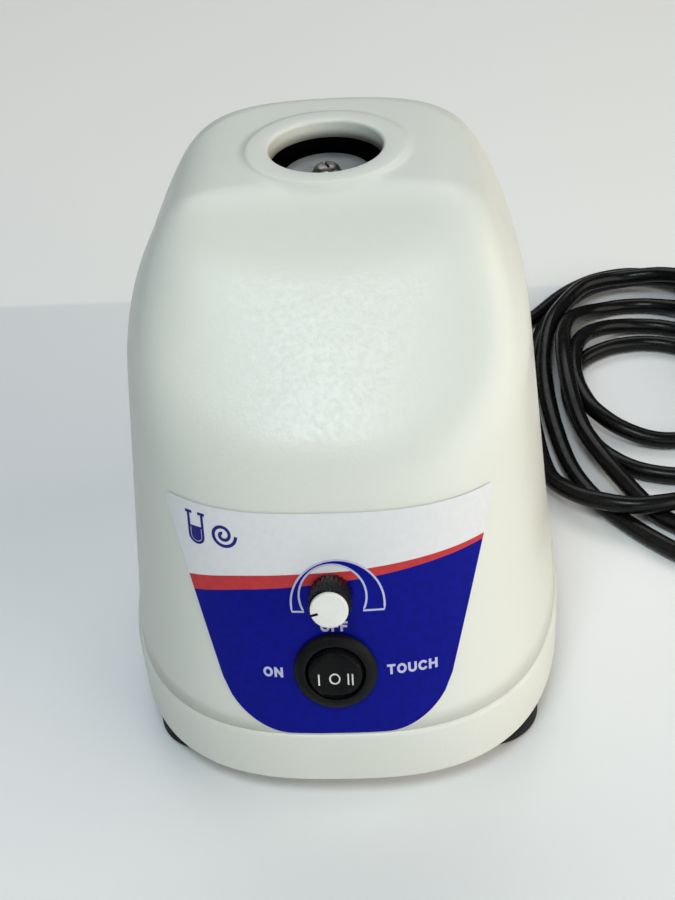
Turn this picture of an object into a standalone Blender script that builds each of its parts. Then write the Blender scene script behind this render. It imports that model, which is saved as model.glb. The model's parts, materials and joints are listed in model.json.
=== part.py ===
"""Vortex mixer: a desk-top laboratory shaker for test tubes, without a cup on its head.

Lengths are in millimetres and become metres in one place, solid(). The origin is on the table,
under the middle of the housing. +Z is up, +X is the operator's right and -Y faces the operator.
"""

import math

import bmesh
import bpy
from mathutils import Vector

MM = 0.001
GAP = 0.3  # kept between pieces that rest on each other
TURN = 2 * math.pi

# Housing, outside.
HALF_WIDTH = 67.3
HALF_DEPTH = 82.2
BAND_BOTTOM = 8.8
LEDGE_Z = 28.0
WALL_BASE_Z = 29.9  # the walls lean inwards from their plan at this height
LEDGE_STEP = 1.2
TOP_Z = 153.1
SKIN = 2.6
FRONT_POWER = 2.75
BACK_POWER = 3.35
FRONT_LEAN = 0.292  # inward run of each wall per unit of height
SIDE_LEAN = 0.093
BACK_LEAN = 0.053
SLOPE_START_Y = -0.6
SLOPE = 0.824
SLOPE_RUN = 62.5
SLOPE_BLEND = 12.0  # half the length over which the top bends into the slope, at the sides
MIDDLE_BLEND = 18.0  # and in the middle
CROWN = 0.00285
SCOOP_DEPTH = 36.9  # the dip on each side that narrows the head
SCOOP_X = 53.7
SCOOP_SOFT = 4.67
SCOOP_FRONT_Y = -55.6
SCOOP_BACK_Y = 23.4
SHOULDER_ROUND = 10.5
COLUMNS = 44

# Head opening.
HEAD_Y = 35.5
HOLE_R = 17.1
HOLE_WALL = 5.6
COLLAR_RISE = 0.8
COLLAR_R = 23.6
COLLAR_FOOT_R = 26.2

# Base pan and feet.
PAN_FLOOR = 3.2
RIM_INSET = 6.5
RIM_THICK = 2.0
LEDGE_FALL = 1.8  # the ledge falls inwards, clear of the cover's inner edge
RIM_TOP = 33.0
FOOT_X = 43.5
FOOT_FRONT_Y = -48.0
FOOT_BACK_Y = 52.0
FOOT_R = 15.5
FOOT_BORE_R = 2.4
SCREW_R = 1.9
BOSS_R = 4.5
BOSS_BOTTOM = 34.6
BOSS_HOLE_TOP = 50.0

# Operator's panel, on the leaning front wall.
PANEL_TILT = math.atan(FRONT_LEAN)
KNOB_Z = 72.0
SWITCH_Z = 48.7
KNOB_R = 6.1
CAP_R = 5.4
KNOB_TOP = 10.2
SWITCH_R = 11.7
SWITCH_BODY_R = 9.9
SWITCH_DEPTH = 21.0
ROCKER_R = 8.1
ROCKER_POCKET_R = 8.4
LABEL_OFF = 0.3
LABEL_THICK = 0.4
LABEL_TOP_Z = 94.6
LABEL_BOTTOM_Z = 29.6
LABEL_TOP_HALF = 45.0

# Drive unit, hung under the head.
FLOOR_Z = BAND_BOTTOM + PAN_FLOOR
POST_X = 32.0
POST_SPREAD_Y = 25.5
POST_R = 3.0
PLATE_BOTTOM = 28.0
PLATE_THICK = 3.0
PLATE_HALF_X = 37.0
PLATE_HALF_Y = 31.0
MOTOR_R = 29.0
MOTOR_BOTTOM = PLATE_BOTTOM + PLATE_THICK + GAP
MOTOR_TOP = 88.0
CAP_TOP = 94.0
SHAFT_R = 4.0
BEARING_R = 10.4
BEARING_H = 7.0
THROW = 2.0  # the head's orbit radius
HUB_BOTTOM = 97.0
HUB_TOP = 108.0
SET_SCREW_Z = 100.0
CRANK_R = 4.0
CRANK_TOP = 119.0
FLANGE_BOTTOM = 120.0
FLANGE_TOP = 124.0
FLANGE_R = 24.0
CARRIER_TOP = 146.0
CARRIER_R = 13.5
PEG_R = 2.0
PEG_AWAY = 19.5
BUSH_HOLE_R = PEG_R + THROW + GAP

# Electrical parts.
TOUCH_SWITCH_Y = 12.0
BOARD_Z = 20.0
BOARD_Y = -30.0
BOARD_HALF_X = 34.0
BOARD_HALF_Y = 21.0
BOARD_THICK = 1.6
GLAND_Z = 40.0
GLAND_R = 6.0
GLAND_LENGTH = 32.0
CORD_R = 3.25

# Where the cord lies. The coil is an oval ring that stands in for its turns.
COIL_X = 116.0
COIL_Y = 108.0
COIL_OUTER = (50.0, 104.5)  # half width, half depth
COIL_INNER = (19.0, 40.0)
COIL_TOP = 22.0
PLUG_BACK = (182.0, 112.0)
PLUG_TURN = math.radians(-90)
PLUG_Z = 10.4
PLUG_LENGTH = 36.0


# ---------------------------------------------------------------- scene helpers

def clear_scene():
    for item in list(bpy.data.objects):
        bpy.data.objects.remove(item, do_unlink=True)


def make_material(name, color, roughness, metallic=0.0):
    material = bpy.data.materials.new(name)
    material.use_nodes = True
    shader = material.node_tree.nodes["Principled BSDF"]
    shader.inputs["Base Color"].default_value = (*color, 1.0)
    shader.inputs["Roughness"].default_value = roughness
    shader.inputs["Metallic"].default_value = metallic
    return material


def make_empty(name, place, turn_x=0.0):
    empty = bpy.data.objects.new(name, None)
    empty.location = Vector(place) * MM
    empty.rotation_euler = (turn_x, 0.0, 0.0)
    bpy.context.scene.collection.objects.link(empty)
    return empty


def solid(name, points, faces, material, place=(0, 0, 0), parent=None, smooth_angle=35):
    """An object from points in millimetres, with its faces turned outwards."""
    mesh = bpy.data.meshes.new(name)
    mesh.from_pydata([Vector(p) * MM for p in points], [], faces)
    work = bmesh.new()
    work.from_mesh(mesh)
    bmesh.ops.recalc_face_normals(work, faces=work.faces)
    work.to_mesh(mesh)
    work.free()
    mesh.materials.append(material)
    mesh.shade_smooth()
    mesh.set_sharp_from_angle(angle=math.radians(smooth_angle))
    item = bpy.data.objects.new(name, mesh)
    item.location = Vector(place) * MM
    item.parent = parent
    bpy.context.scene.collection.objects.link(item)
    return item


def as_cutter(item):
    item.hide_render = True
    item.display_type = "WIRE"
    return item


def boolean(item, other, operation="DIFFERENCE"):
    modifier = item.modifiers.new(other.name, "BOOLEAN")
    modifier.operation = operation
    modifier.solver = "EXACT"
    modifier.object = other


def drill(item, name, radius, low, high, place=(0, 0, 0), parent=None, sides=14):
    """Cuts a round hole. The drill is turned a little, so that its corners meet no edge of the piece."""
    material = item.data.materials[0]
    tool = turned(name, [(radius, low), (radius, high)], material, place, parent, sides)
    tool.rotation_euler = (0, 0, 0.11)
    boolean(item, as_cutter(tool))
    return tool


def bevel(item, width, segments=2):
    modifier = item.modifiers.new("edges", "BEVEL")
    modifier.width = width * MM
    modifier.segments = segments
    modifier.limit_method = "ANGLE"
    modifier.angle_limit = math.radians(40)


# ---------------------------------------------------------------- simple shapes

def stack(rings, cap_start=True, cap_end=True, closed=False):
    """Points and faces of a skin through rings that all have the same number of points."""
    count = len(rings[0])
    points = [point for ring in rings for point in ring]
    faces = []
    last = len(rings) if closed else len(rings) - 1
    for i in range(last):
        low, high = i * count, ((i + 1) % len(rings)) * count
        for j in range(count):
            k = (j + 1) % count
            faces.append((low + j, low + k, high + k, high + j))
    if cap_start and not closed:
        faces.append(tuple(range(count)))
    if cap_end and not closed:
        faces.append(tuple(range((len(rings) - 1) * count, len(rings) * count)))
    return points, faces


def circle(radius, z, sides, center=(0.0, 0.0)):
    return [(center[0] + radius * math.cos(TURN * i / sides),
             center[1] + radius * math.sin(TURN * i / sides), z) for i in range(sides)]


def turned(name, profile, material, place=(0, 0, 0), parent=None, sides=22, closed=False):
    """A turned piece about its own Z, from (radius, height) points; closed makes a ring."""
    rings = [circle(radius, z, sides) for radius, z in profile]
    return solid(name, *stack(rings, closed=closed), material, place, parent)


def block(name, low, high, material, place=(0, 0, 0), parent=None):
    (x0, y0, z0), (x1, y1, z1) = low, high
    rings = [[(x0, y0, z), (x1, y0, z), (x1, y1, z), (x0, y1, z)] for z in (z0, z1)]
    return solid(name, *stack(rings), material, place, parent)


def hexagon(name, radius, bore, low, high, material, place=(0, 0, 0), parent=None):
    """A nut: six flats outside, a round hole inside."""
    outer = [circle(radius, z, 6) for z in (low, high)]
    fine = [[point_on_polygon(ring, i / 24) for i in range(24)] for ring in outer]
    inner = [circle(bore, z, 24) for z in (high, low)]
    return solid(name, *stack(fine + inner, closed=True), material, place, parent)


def point_on_polygon(ring, share):
    along = share * len(ring)
    first = int(along) % len(ring)
    a, b = Vector(ring[first]), Vector(ring[(first + 1) % len(ring)])
    return tuple(a.lerp(b, along - int(along)))


def tube(name, route, radius, material, steps):
    """A cord stretch: a smooth curve through its route's points, as a bevelled poly curve."""
    spots = [(x, y, max(z, radius)) for x, y, z in smooth_route(route, steps)]
    curve = bpy.data.curves.new(name, "CURVE")
    curve.dimensions = "3D"
    curve.bevel_depth = radius * MM
    curve.bevel_resolution = 2
    curve.use_fill_caps = True
    curve.render_resolution_u = 0
    spline = curve.splines.new("POLY")
    spline.points.add(len(spots) - 1)
    for spline_point, spot in zip(spline.points, spots, strict=True):
        spline_point.co = (*(Vector(spot) * MM), 1.0)
    curve.materials.append(material)
    item = bpy.data.objects.new(name, curve)
    bpy.context.scene.collection.objects.link(item)
    return item


def smooth_route(route, steps):
    """Points along a Catmull-Rom curve, with the given number of steps to each stretch."""
    spots = [Vector(p) for p in route]
    spots = [2 * spots[0] - spots[1], *spots, 2 * spots[-1] - spots[-2]]
    found = []
    for i in range(1, len(spots) - 2):
        a, b, c, d = spots[i - 1:i + 3]
        for k in range(steps):
            t = k / steps
            found.append(0.5 * (2 * b + (c - a) * t + (2 * a - 5 * b + 4 * c - d) * t ** 2
                                + (3 * b - a - 3 * c + d) * t ** 3))
    found.append(spots[-2])
    return found


# ---------------------------------------------------------------- housing shape

def smooth_step(t):
    t = min(max(t, 0.0), 1.0)
    return t * t * (3 - 2 * t)


def soft_ramp(t, blend):
    """0 below -blend, t above +blend, and a parabola that joins the two."""
    if t <= -blend:
        return 0.0
    if t >= blend:
        return t
    return (t + blend) ** 2 / (4 * blend)


def plan_point(turn, z, inset=0.0):
    """The point of the D-shaped wall at height z that the angle turn looks at."""
    rise = z - WALL_BASE_Z
    c, s = math.cos(turn), math.sin(turn)
    half_x = HALF_WIDTH - inset - SIDE_LEAN * rise
    lean, power = (FRONT_LEAN, FRONT_POWER) if s < 0 else (BACK_LEAN, BACK_POWER)
    half_y = HALF_DEPTH - inset - lean * rise
    reach = (abs(c / half_x) ** power + abs(s / half_y) ** power) ** (-1 / power)
    return reach * c, reach * s, z


def panel_y(z):
    return -HALF_DEPTH + LEDGE_STEP + FRONT_LEAN * (z - WALL_BASE_Z)


def wall_y(x, z):
    """Where the front half of the wall is at this x and height."""
    half_x = HALF_WIDTH - LEDGE_STEP - SIDE_LEAN * (z - WALL_BASE_Z)
    return panel_y(z) * (1 - abs(x / half_x) ** FRONT_POWER) ** (1 / FRONT_POWER)


def hood_z(x, y):
    """The height of the housing's upper face above this spot."""
    middle = 1 - smooth_step(abs(x) / SCOOP_X)
    run = soft_ramp(SLOPE_START_Y - y, SLOPE_BLEND + (MIDDLE_BLEND - SLOPE_BLEND) * middle)
    slope = SLOPE * run + CROWN * x * x * min(run / SLOPE_RUN, 1.2)
    share = smooth_step((y - SCOOP_FRONT_Y) / (SCOOP_BACK_Y - SCOOP_FRONT_Y))
    scoop = SCOOP_DEPTH * share / (1 + math.exp(-(abs(x) - SCOOP_X) / SCOOP_SOFT))
    return TOP_Z - slope - scoop


def shoulder_point(turn):
    """Where the wall runs into the upper face."""
    z = 120.0
    for _ in range(40):
        x, y, _z = plan_point(turn, z, LEDGE_STEP)
        z = (z + hood_z(x, y)) / 2
    return Vector((x, y, z))


def housing_rings(hood_count, round_count, wall_count):
    """The housing's outside, from the opening's lower lip out over the hood and down the wall."""
    turns = [TURN * i / COLUMNS for i in range(COLUMNS)]
    shoulders = [shoulder_point(turn) for turn in turns]
    looks = [math.atan2(p.y - HEAD_Y, p.x) for p in shoulders]
    rim = TOP_Z + COLLAR_RISE
    collar = [(HOLE_R, rim - HOLE_WALL), (HOLE_R, TOP_Z), (HOLE_R + 0.3, TOP_Z + 0.5), (HOLE_R + 1.0, rim),
              (COLLAR_R, rim), (COLLAR_R + 1.0, TOP_Z + 0.4)]
    rings = [[(r * math.cos(a), HEAD_Y + r * math.sin(a), z) for a in looks] for r, z in collar]
    feet = [Vector((COLLAR_FOOT_R * math.cos(a), HEAD_Y + COLLAR_FOOT_R * math.sin(a))) for a in looks]
    runs = [(shoulder.xy - foot).length for shoulder, foot in zip(shoulders, feet, strict=True)]
    for i in range(hood_count):
        ring = []
        for foot, shoulder, run in zip(feet, shoulders, runs, strict=True):
            stop = 1 - fillet_length(run) / run
            spot = foot.lerp(shoulder.xy, stop * i / (hood_count - 1))
            ring.append((spot.x, spot.y, hood_z(*spot)))
        rings.append(ring)
    starts = [Vector(p) for p in rings[-1]]
    ends = [Vector(plan_point(turn, shoulder.z - fillet_length(run), LEDGE_STEP))
            for turn, shoulder, run in zip(turns, shoulders, runs, strict=True)]
    for i in range(1, round_count):
        t = i / round_count
        rings.append([tuple((1 - t) ** 2 * a + 2 * t * (1 - t) * b + t * t * c)
                      for a, b, c in zip(starts, shoulders, ends, strict=True)])
    for i in range(wall_count):
        share = i / (wall_count - 1)
        rings.append([plan_point(turn, end.z + (LEDGE_Z + GAP - end.z) * share, LEDGE_STEP)
                      for turn, end in zip(turns, ends, strict=True)])
    return rings


def fillet_length(run):
    return min(SHOULDER_ROUND, 0.45 * run)


def boss_top(x, y):
    """The height at which a boss of this place has grown into the housing's skin."""
    z = BOSS_HOLE_TOP
    while z < TOP_Z:
        for i in range(16):
            turn = TURN * i / 16
            edge = Vector((x + (BOSS_R + 0.7) * math.cos(turn), y + (BOSS_R + 0.7) * math.sin(turn)))
            wall = Vector(plan_point(math.atan2(edge.y, edge.x), z, LEDGE_STEP)[:2])
            if edge.length > wall.length or hood_z(*edge) < z + 1.2:
                return z
        z += 1.0
    return z


# ---------------------------------------------------------------- casings

def make_top_cover(paint):
    points, faces = stack(housing_rings(7, 3, 2), cap_start=False, cap_end=False)
    cover = solid("top_cover", points, faces, paint)
    thick = cover.modifiers.new("skin", "SOLIDIFY")
    thick.thickness = SKIN * MM
    thick.offset = -1.0
    thick.use_even_offset = True
    for i, (x, y) in enumerate(foot_places(), 1):
        rings = [circle(BOSS_R, BOSS_BOTTOM, 14), circle(BOSS_R, boss_top(x, y), 14)]
        boss = solid(f"boss_{i}", *stack(rings), paint, place=(x, y, 0))
        boolean(cover, as_cutter(boss), "UNION")
        drill(cover, f"boss_bore_{i}", SCREW_R + GAP, BOSS_BOTTOM - 2, BOSS_HOLE_TOP, (x, y, 0))
    return cover


def cut_panel_holes(item, panel_at_knob, panel_at_switch):
    reach = 9.0
    drill(item, f"{item.name}_knob_hole", 3.9, -reach, reach, parent=panel_at_knob)
    hole_r = SWITCH_BODY_R + GAP
    drill(item, f"{item.name}_switch_hole", hole_r, -reach, reach, parent=panel_at_switch, sides=24)


def cut_gland_hole(cover):
    tool = drill(cover, "gland_hole", GLAND_R + GAP, -9.0, 9.0, (0, HALF_DEPTH - 2, GLAND_Z), sides=16)
    tool.rotation_euler = (-math.pi / 2, 0.11, 0)


def pan_ring(inset, z):
    return [plan_point(TURN * i / COLUMNS, WALL_BASE_Z, inset)[:2] + (z,) for i in range(COLUMNS)]


def make_base_pan(paint):
    inner = RIM_INSET + RIM_THICK
    profile = [(0.7, BAND_BOTTOM), (0.0, BAND_BOTTOM + 0.7), (0.0, LEDGE_Z - 0.8), (0.7, LEDGE_Z),
               (LEDGE_STEP + 0.4, LEDGE_Z), (RIM_INSET, LEDGE_Z - LEDGE_FALL), (RIM_INSET, RIM_TOP),
               (inner, RIM_TOP), (inner, FLOOR_Z)]
    pan = solid("base_pan", *stack([pan_ring(*p) for p in profile]), paint)
    for i, (x, y) in enumerate(foot_places() + post_places(), 1):
        drill(pan, f"pan_bore_{i}", FOOT_BORE_R, BAND_BOTTOM - 3, FLOOR_Z + 3, (x, y, 0))
    return pan


def foot_places():
    return [(x, y) for y in (FOOT_FRONT_Y, FOOT_BACK_Y) for x in (-FOOT_X, FOOT_X)]


def post_places():
    return [(x, HEAD_Y + y) for y in (-POST_SPREAD_Y, POST_SPREAD_Y) for x in (-POST_X, POST_X)]


def make_feet(rubber, steel):
    top = BAND_BOTTOM - GAP
    foot_profile = [(FOOT_BORE_R + 3.2, 0), (FOOT_R - 1.2, 0), (FOOT_R, 1.6), (FOOT_R, 5.4),
                    (FOOT_R - 2.0, top), (FOOT_BORE_R, top), (FOOT_BORE_R, 3.9), (FOOT_BORE_R + 3.2, 3.9)]
    screw_profile = [(3.6, 0.9), (4.6, 1.7), (4.6, 3.6), (SCREW_R, 3.6), (SCREW_R, 47.0), (1.2, 48.0)]
    for i, (x, y) in enumerate(foot_places(), 1):
        turned(f"foot_{i}", foot_profile, rubber, place=(x, y, 0), sides=20, closed=True)
        turned(f"foot_screw_{i}", screw_profile, steel, place=(x, y, 0), sides=12)


# ---------------------------------------------------------------- operator's panel

def label_half_width(z):
    """Straight slanting sides, then a rounded lower corner."""
    straight = LABEL_TOP_HALF - 0.252 * (LABEL_TOP_Z - z)
    corner = 12.0
    low = LABEL_BOTTOM_Z + corner - z
    if low <= 0:
        return straight
    return straight - corner * (1 - math.sqrt(max(1 - (low / corner) ** 2, 0.0)))


def label_ring(lift, rows, columns):
    grid = []
    for i in range(rows + 1):
        share = i / rows
        z = LABEL_BOTTOM_Z + (LABEL_TOP_Z - LABEL_BOTTOM_Z) * share ** 1.4
        half = label_half_width(z)
        for j in range(columns + 1):
            x = half * (2 * j / columns - 1)
            grid.append(tuple(lifted(x, z, lift)))
    return grid


def lifted(x, z, lift):
    """A spot over the front wall, this far out along the wall's own direction."""
    step = 0.01
    here = Vector((x, wall_y(x, z), z))
    across = Vector((x + step, wall_y(x + step, z), z)) - here
    up = Vector((x, wall_y(x, z + step), z + step)) - here
    return here + across.cross(up).normalized() * lift


def make_label(film):
    rows, columns = 7, 12
    back = label_ring(LABEL_OFF, rows, columns)
    front = label_ring(LABEL_OFF + LABEL_THICK, rows, columns)
    width, size = columns + 1, len(back)
    faces = []
    for i in range(rows):
        for j in range(columns):
            quad = (i * width + j, i * width + j + 1, (i + 1) * width + j + 1, (i + 1) * width + j)
            faces.append(quad[::-1])
            faces.append(tuple(k + size for k in quad))
    edge = ([j for j in range(columns)] + [i * width + columns for i in range(rows)]
            + [rows * width + j for j in range(columns, 0, -1)] + [i * width for i in range(rows, 0, -1)])
    for a, b in zip(edge, edge[1:] + edge[:1], strict=True):
        faces.append((a, b, b + size, a + size))
    return solid("front_label", back + front, faces, film)


def ribbed_ring(outer, depth, z, ribs):
    """A ring whose rim rises and falls once for each rib."""
    sides = ribs * 4
    return [((outer - depth * (i % 4 in (2, 3))) * math.cos(TURN * i / sides),
             (outer - depth * (i % 4 in (2, 3))) * math.sin(TURN * i / sides), z) for i in range(sides)]


def make_speed_control(plastic, white, steel, panel):
    ribs = 10
    sides = ribs * 4
    rings = [circle(2.8, 7.8, sides), circle(2.8, 3.3, sides), circle(5.0, 3.3, sides),
             circle(5.0, 1.2, sides), ribbed_ring(KNOB_R, 0.4, 1.2, ribs),
             ribbed_ring(KNOB_R - 0.2, 0.4, KNOB_TOP - 0.5, ribs),
             ribbed_ring(KNOB_R - 0.6, 0.2, KNOB_TOP, ribs)]
    solid("speed_knob", *stack(rings), plastic, parent=panel)
    cap = [(CAP_R, KNOB_TOP + GAP), (CAP_R, KNOB_TOP + 1.1), (CAP_R - 0.3, KNOB_TOP + 1.4)]
    turned("knob_cap", cap, white, parent=panel, sides=24)
    turned("pot_shaft", [(2.4, -8.0), (2.4, 7.1), (2.1, 7.5)], steel, parent=panel, sides=16)
    turned("potentiometer", [(8.0, -13.0), (8.5, -12.4), (8.5, -SKIN - GAP), (3.5, -SKIN - GAP),
                             (3.5, 3.0), (2.75, 3.0), (2.75, -8.3)], steel, parent=panel, sides=22)
    hexagon("pot_nut", 4.7, 3.8, LABEL_OFF + LABEL_THICK + GAP, 2.9, steel, parent=panel)


def make_switch(plastic, panel):
    face = LABEL_OFF + LABEL_THICK + GAP
    frame = [(SWITCH_BODY_R - 0.8, -SWITCH_DEPTH), (SWITCH_BODY_R, -SWITCH_DEPTH + 0.8),
             (SWITCH_BODY_R, face), (SWITCH_R - 0.2, face), (SWITCH_R, face + 0.3),
             (SWITCH_R - 0.1, face + 1.0), (SWITCH_R - 1.6, face + 2.1),
             (ROCKER_POCKET_R + 0.4, face + 2.1), (ROCKER_POCKET_R, face + 1.8),
             (ROCKER_POCKET_R, -6.0)]
    turned("switch_frame", frame, plastic, parent=panel, sides=26)
    side = [(ROCKER_R * math.cos(math.radians(a)), ROCKER_R * math.sin(math.radians(a)))
            for a in (4, 14, 22, 28, 32)]
    turned("switch_rocker", side, plastic, parent=panel, sides=26)


# ---------------------------------------------------------------- drive unit

def make_suspension(steel, spring_steel, zinc):
    head_bottom = PLATE_BOTTOM + PLATE_THICK + GAP
    post = [(1.4, BAND_BOTTOM + 0.4), (2.1, BAND_BOTTOM + 0.9), (2.1, FLOOR_Z + GAP),
            (POST_R, FLOOR_Z + GAP), (POST_R, head_bottom), (5.4, head_bottom),
            (5.4, head_bottom + 2.0), (4.6, head_bottom + 2.8)]
    for i, (x, y) in enumerate(post_places(), 1):
        turned(f"guide_post_{i}", post, steel, place=(x, y, 0), sides=14)
        make_spring(f"lift_spring_{i}", (x, y), spring_steel)
    x, y = PLATE_HALF_X, PLATE_HALF_Y
    plate = block("motor_plate", (-x, -y, PLATE_BOTTOM), (x, y, PLATE_BOTTOM + PLATE_THICK), zinc,
                  place=(0, HEAD_Y, 0))
    bevel(plate, 1.0)
    holes = [(px, py - HEAD_Y, POST_R + 0.4) for px, py in post_places()]
    holes += [(0.0, 0.0, 9.0), (-20.0, 0.0, 2.4), (20.0, 0.0, 2.4)]
    for i, (px, py, radius) in enumerate(holes, 1):
        drill(plate, f"plate_hole_{i}", radius, PLATE_BOTTOM - 3, PLATE_BOTTOM + 6, (px, HEAD_Y + py, 0))
    screw = [(4.0, 25.4), (4.0, 27.7), (2.0, 27.7), (2.0, 36.0), (1.4, 36.6)]
    for i, side in enumerate((-1, 1), 1):
        turned(f"motor_screw_{i}", screw, steel, place=(20.0 * side, HEAD_Y, 0), sides=12)


def make_spring(name, place, material):
    """A helix of round wire between the pan's floor and the motor plate."""
    wire, coil_r, turns, steps, sides = 0.7, 4.7, 4, 8, 4
    low, high = FLOOR_Z + GAP + wire, PLATE_BOTTOM - GAP - wire
    rings = []
    for i in range(turns * steps + 1):
        share = i / (turns * steps)
        turn = TURN * turns * share
        level = min(max((share * turns - 0.6) / (turns - 1.2), 0.0), 1.0)
        z = low + (high - low) * level
        outward = Vector((math.cos(turn), math.sin(turn), 0))
        center = outward * coil_r + Vector((0, 0, z))
        rings.append([tuple(center + wire * (outward * math.cos(TURN * k / sides)
                                             + Vector((0, 0, 1)) * math.sin(TURN * k / sides)))
                      for k in range(sides)])
    return solid(name, *stack(rings), material, place=(*place, 0))


def make_motor(can_metal, zinc, iron, copper, steel, rubber):
    at = (0, HEAD_Y, 0)
    bottom = MOTOR_BOTTOM
    seat = BEARING_R + GAP
    can = [(6.5, bottom), (MOTOR_R - 1.5, bottom), (MOTOR_R, bottom + 1.5), (MOTOR_R, MOTOR_TOP),
           (MOTOR_R - 2, MOTOR_TOP), (MOTOR_R - 2, bottom + 2.4), (seat + 2, bottom + 2.4),
           (seat + 2, bottom + 2.4 + BEARING_H), (seat, bottom + 2.4 + BEARING_H), (seat, bottom + 2.1),
           (6.5, bottom + 2.1)]
    body = turned("motor_can", can, can_metal, place=at, sides=26, closed=True)
    for i, side in enumerate((-1, 1), 1):
        drill(body, f"can_bore_{i}", 2.3, bottom - 3, bottom + 6, (20.0 * side, HEAD_Y, 0))
    low = MOTOR_TOP + GAP
    cap = [(MOTOR_R, low), (MOTOR_R, CAP_TOP - 1), (MOTOR_R - 1, CAP_TOP), (5.5, CAP_TOP),
           (5.5, CAP_TOP - 2), (seat, CAP_TOP - 2), (seat, low - 3.5), (seat + 2, low - 3.5), (seat + 2, low)]
    turned("motor_end_cap", cap, zinc, place=at, sides=26, closed=True)
    ring = [(16.4, 50), (MOTOR_R - 2.4, 50), (MOTOR_R - 2.4, 76), (16.4, 76)]
    turned("stator_core", ring, iron, place=at, sides=26, closed=True)
    for name, base in (("lower_winding", 44.0), ("upper_winding", 76.0 + GAP)):
        coil = [(17.5, base), (24.5, base), (25.5, base + 1), (25.5, base + 4.7), (24.5, base + 5.7),
                (17.5, base + 5.7)]
        turned(name, coil, copper, place=at, sides=22, closed=True)
    rotor = [(SHAFT_R + GAP, 50), (15.8, 50), (15.8, 76), (SHAFT_R + GAP, 76)]
    turned("rotor_core", rotor, iron, place=at, sides=24, closed=True)
    for name, base in (("lower_bearing", bottom + 2.4), ("upper_bearing", CAP_TOP - 2 - GAP - BEARING_H)):
        bearing = [(SHAFT_R + GAP, base), (BEARING_R, base), (BEARING_R, base + BEARING_H - 0.3),
                   (SHAFT_R + GAP, base + BEARING_H - 0.3)]
        turned(name, bearing, steel, place=at, sides=22, closed=True)
    bush_low = CAP_TOP + GAP
    bush = [(BUSH_HOLE_R, bush_low), (BUSH_HOLE_R + 2.4, bush_low), (BUSH_HOLE_R + 2.4, bush_low + 11.0),
            (BUSH_HOLE_R, bush_low + 11.0)]
    turned("orbit_bush", bush, rubber, place=(0, HEAD_Y - PEG_AWAY, 0), sides=20, closed=True)


def make_rotor(steel, brass, rotor_axis):
    turned("motor_shaft", [(3.4, 30.0), (SHAFT_R, 30.6), (SHAFT_R, 104.0), (3.4, 104.6)], steel,
           parent=rotor_axis, sides=16)
    make_hub(steel, rotor_axis)
    set_screw = turned("hub_set_screw", [(1.4, 4.6), (1.4, 8.6)], brass,
                       (0, 0, SET_SCREW_Z), rotor_axis, 12)
    set_screw.rotation_euler = (0, -math.pi / 2, 0)


def make_hub(steel, rotor_axis):
    """The eccentric hub: a socket on the shaft, a crank pin off its axis, and a balance lobe."""
    sides = 24
    socket_r, socket_top = SHAFT_R + GAP, 105.0
    shifted = (THROW, 0.0)
    rings = [circle(socket_r, socket_top, sides), circle(socket_r, HUB_BOTTOM, sides),
             lobe_ring(10.0, HUB_BOTTOM, sides), lobe_ring(10.0, HUB_TOP, sides),
             circle(6.2, HUB_TOP + 0.01, sides, shifted), circle(6.2, HUB_TOP + 1.2, sides, shifted),
             circle(CRANK_R, HUB_TOP + 1.2, sides, shifted), circle(CRANK_R, CRANK_TOP, sides, shifted),
             circle(CRANK_R - 0.5, CRANK_TOP + 0.5, sides, shifted)]
    hub = solid("eccentric_hub", *stack(rings), steel, parent=rotor_axis)
    tool = drill(hub, "set_screw_bore", 1.7, 0.0, 14.0, (0, 0, SET_SCREW_Z), rotor_axis, 12)
    tool.rotation_euler = (0, -math.pi / 2, 0)


def lobe_ring(radius, z, sides):
    """Round towards the crank pin, and fuller on the far side, where it balances the head."""
    ring = []
    for i in range(sides):
        turn = TURN * i / sides
        fuller = radius + 2.6 * smooth_step((-math.cos(turn) - 0.1) / 0.5)
        ring.append((fuller * math.cos(turn), fuller * math.sin(turn), z))
    return ring


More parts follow.
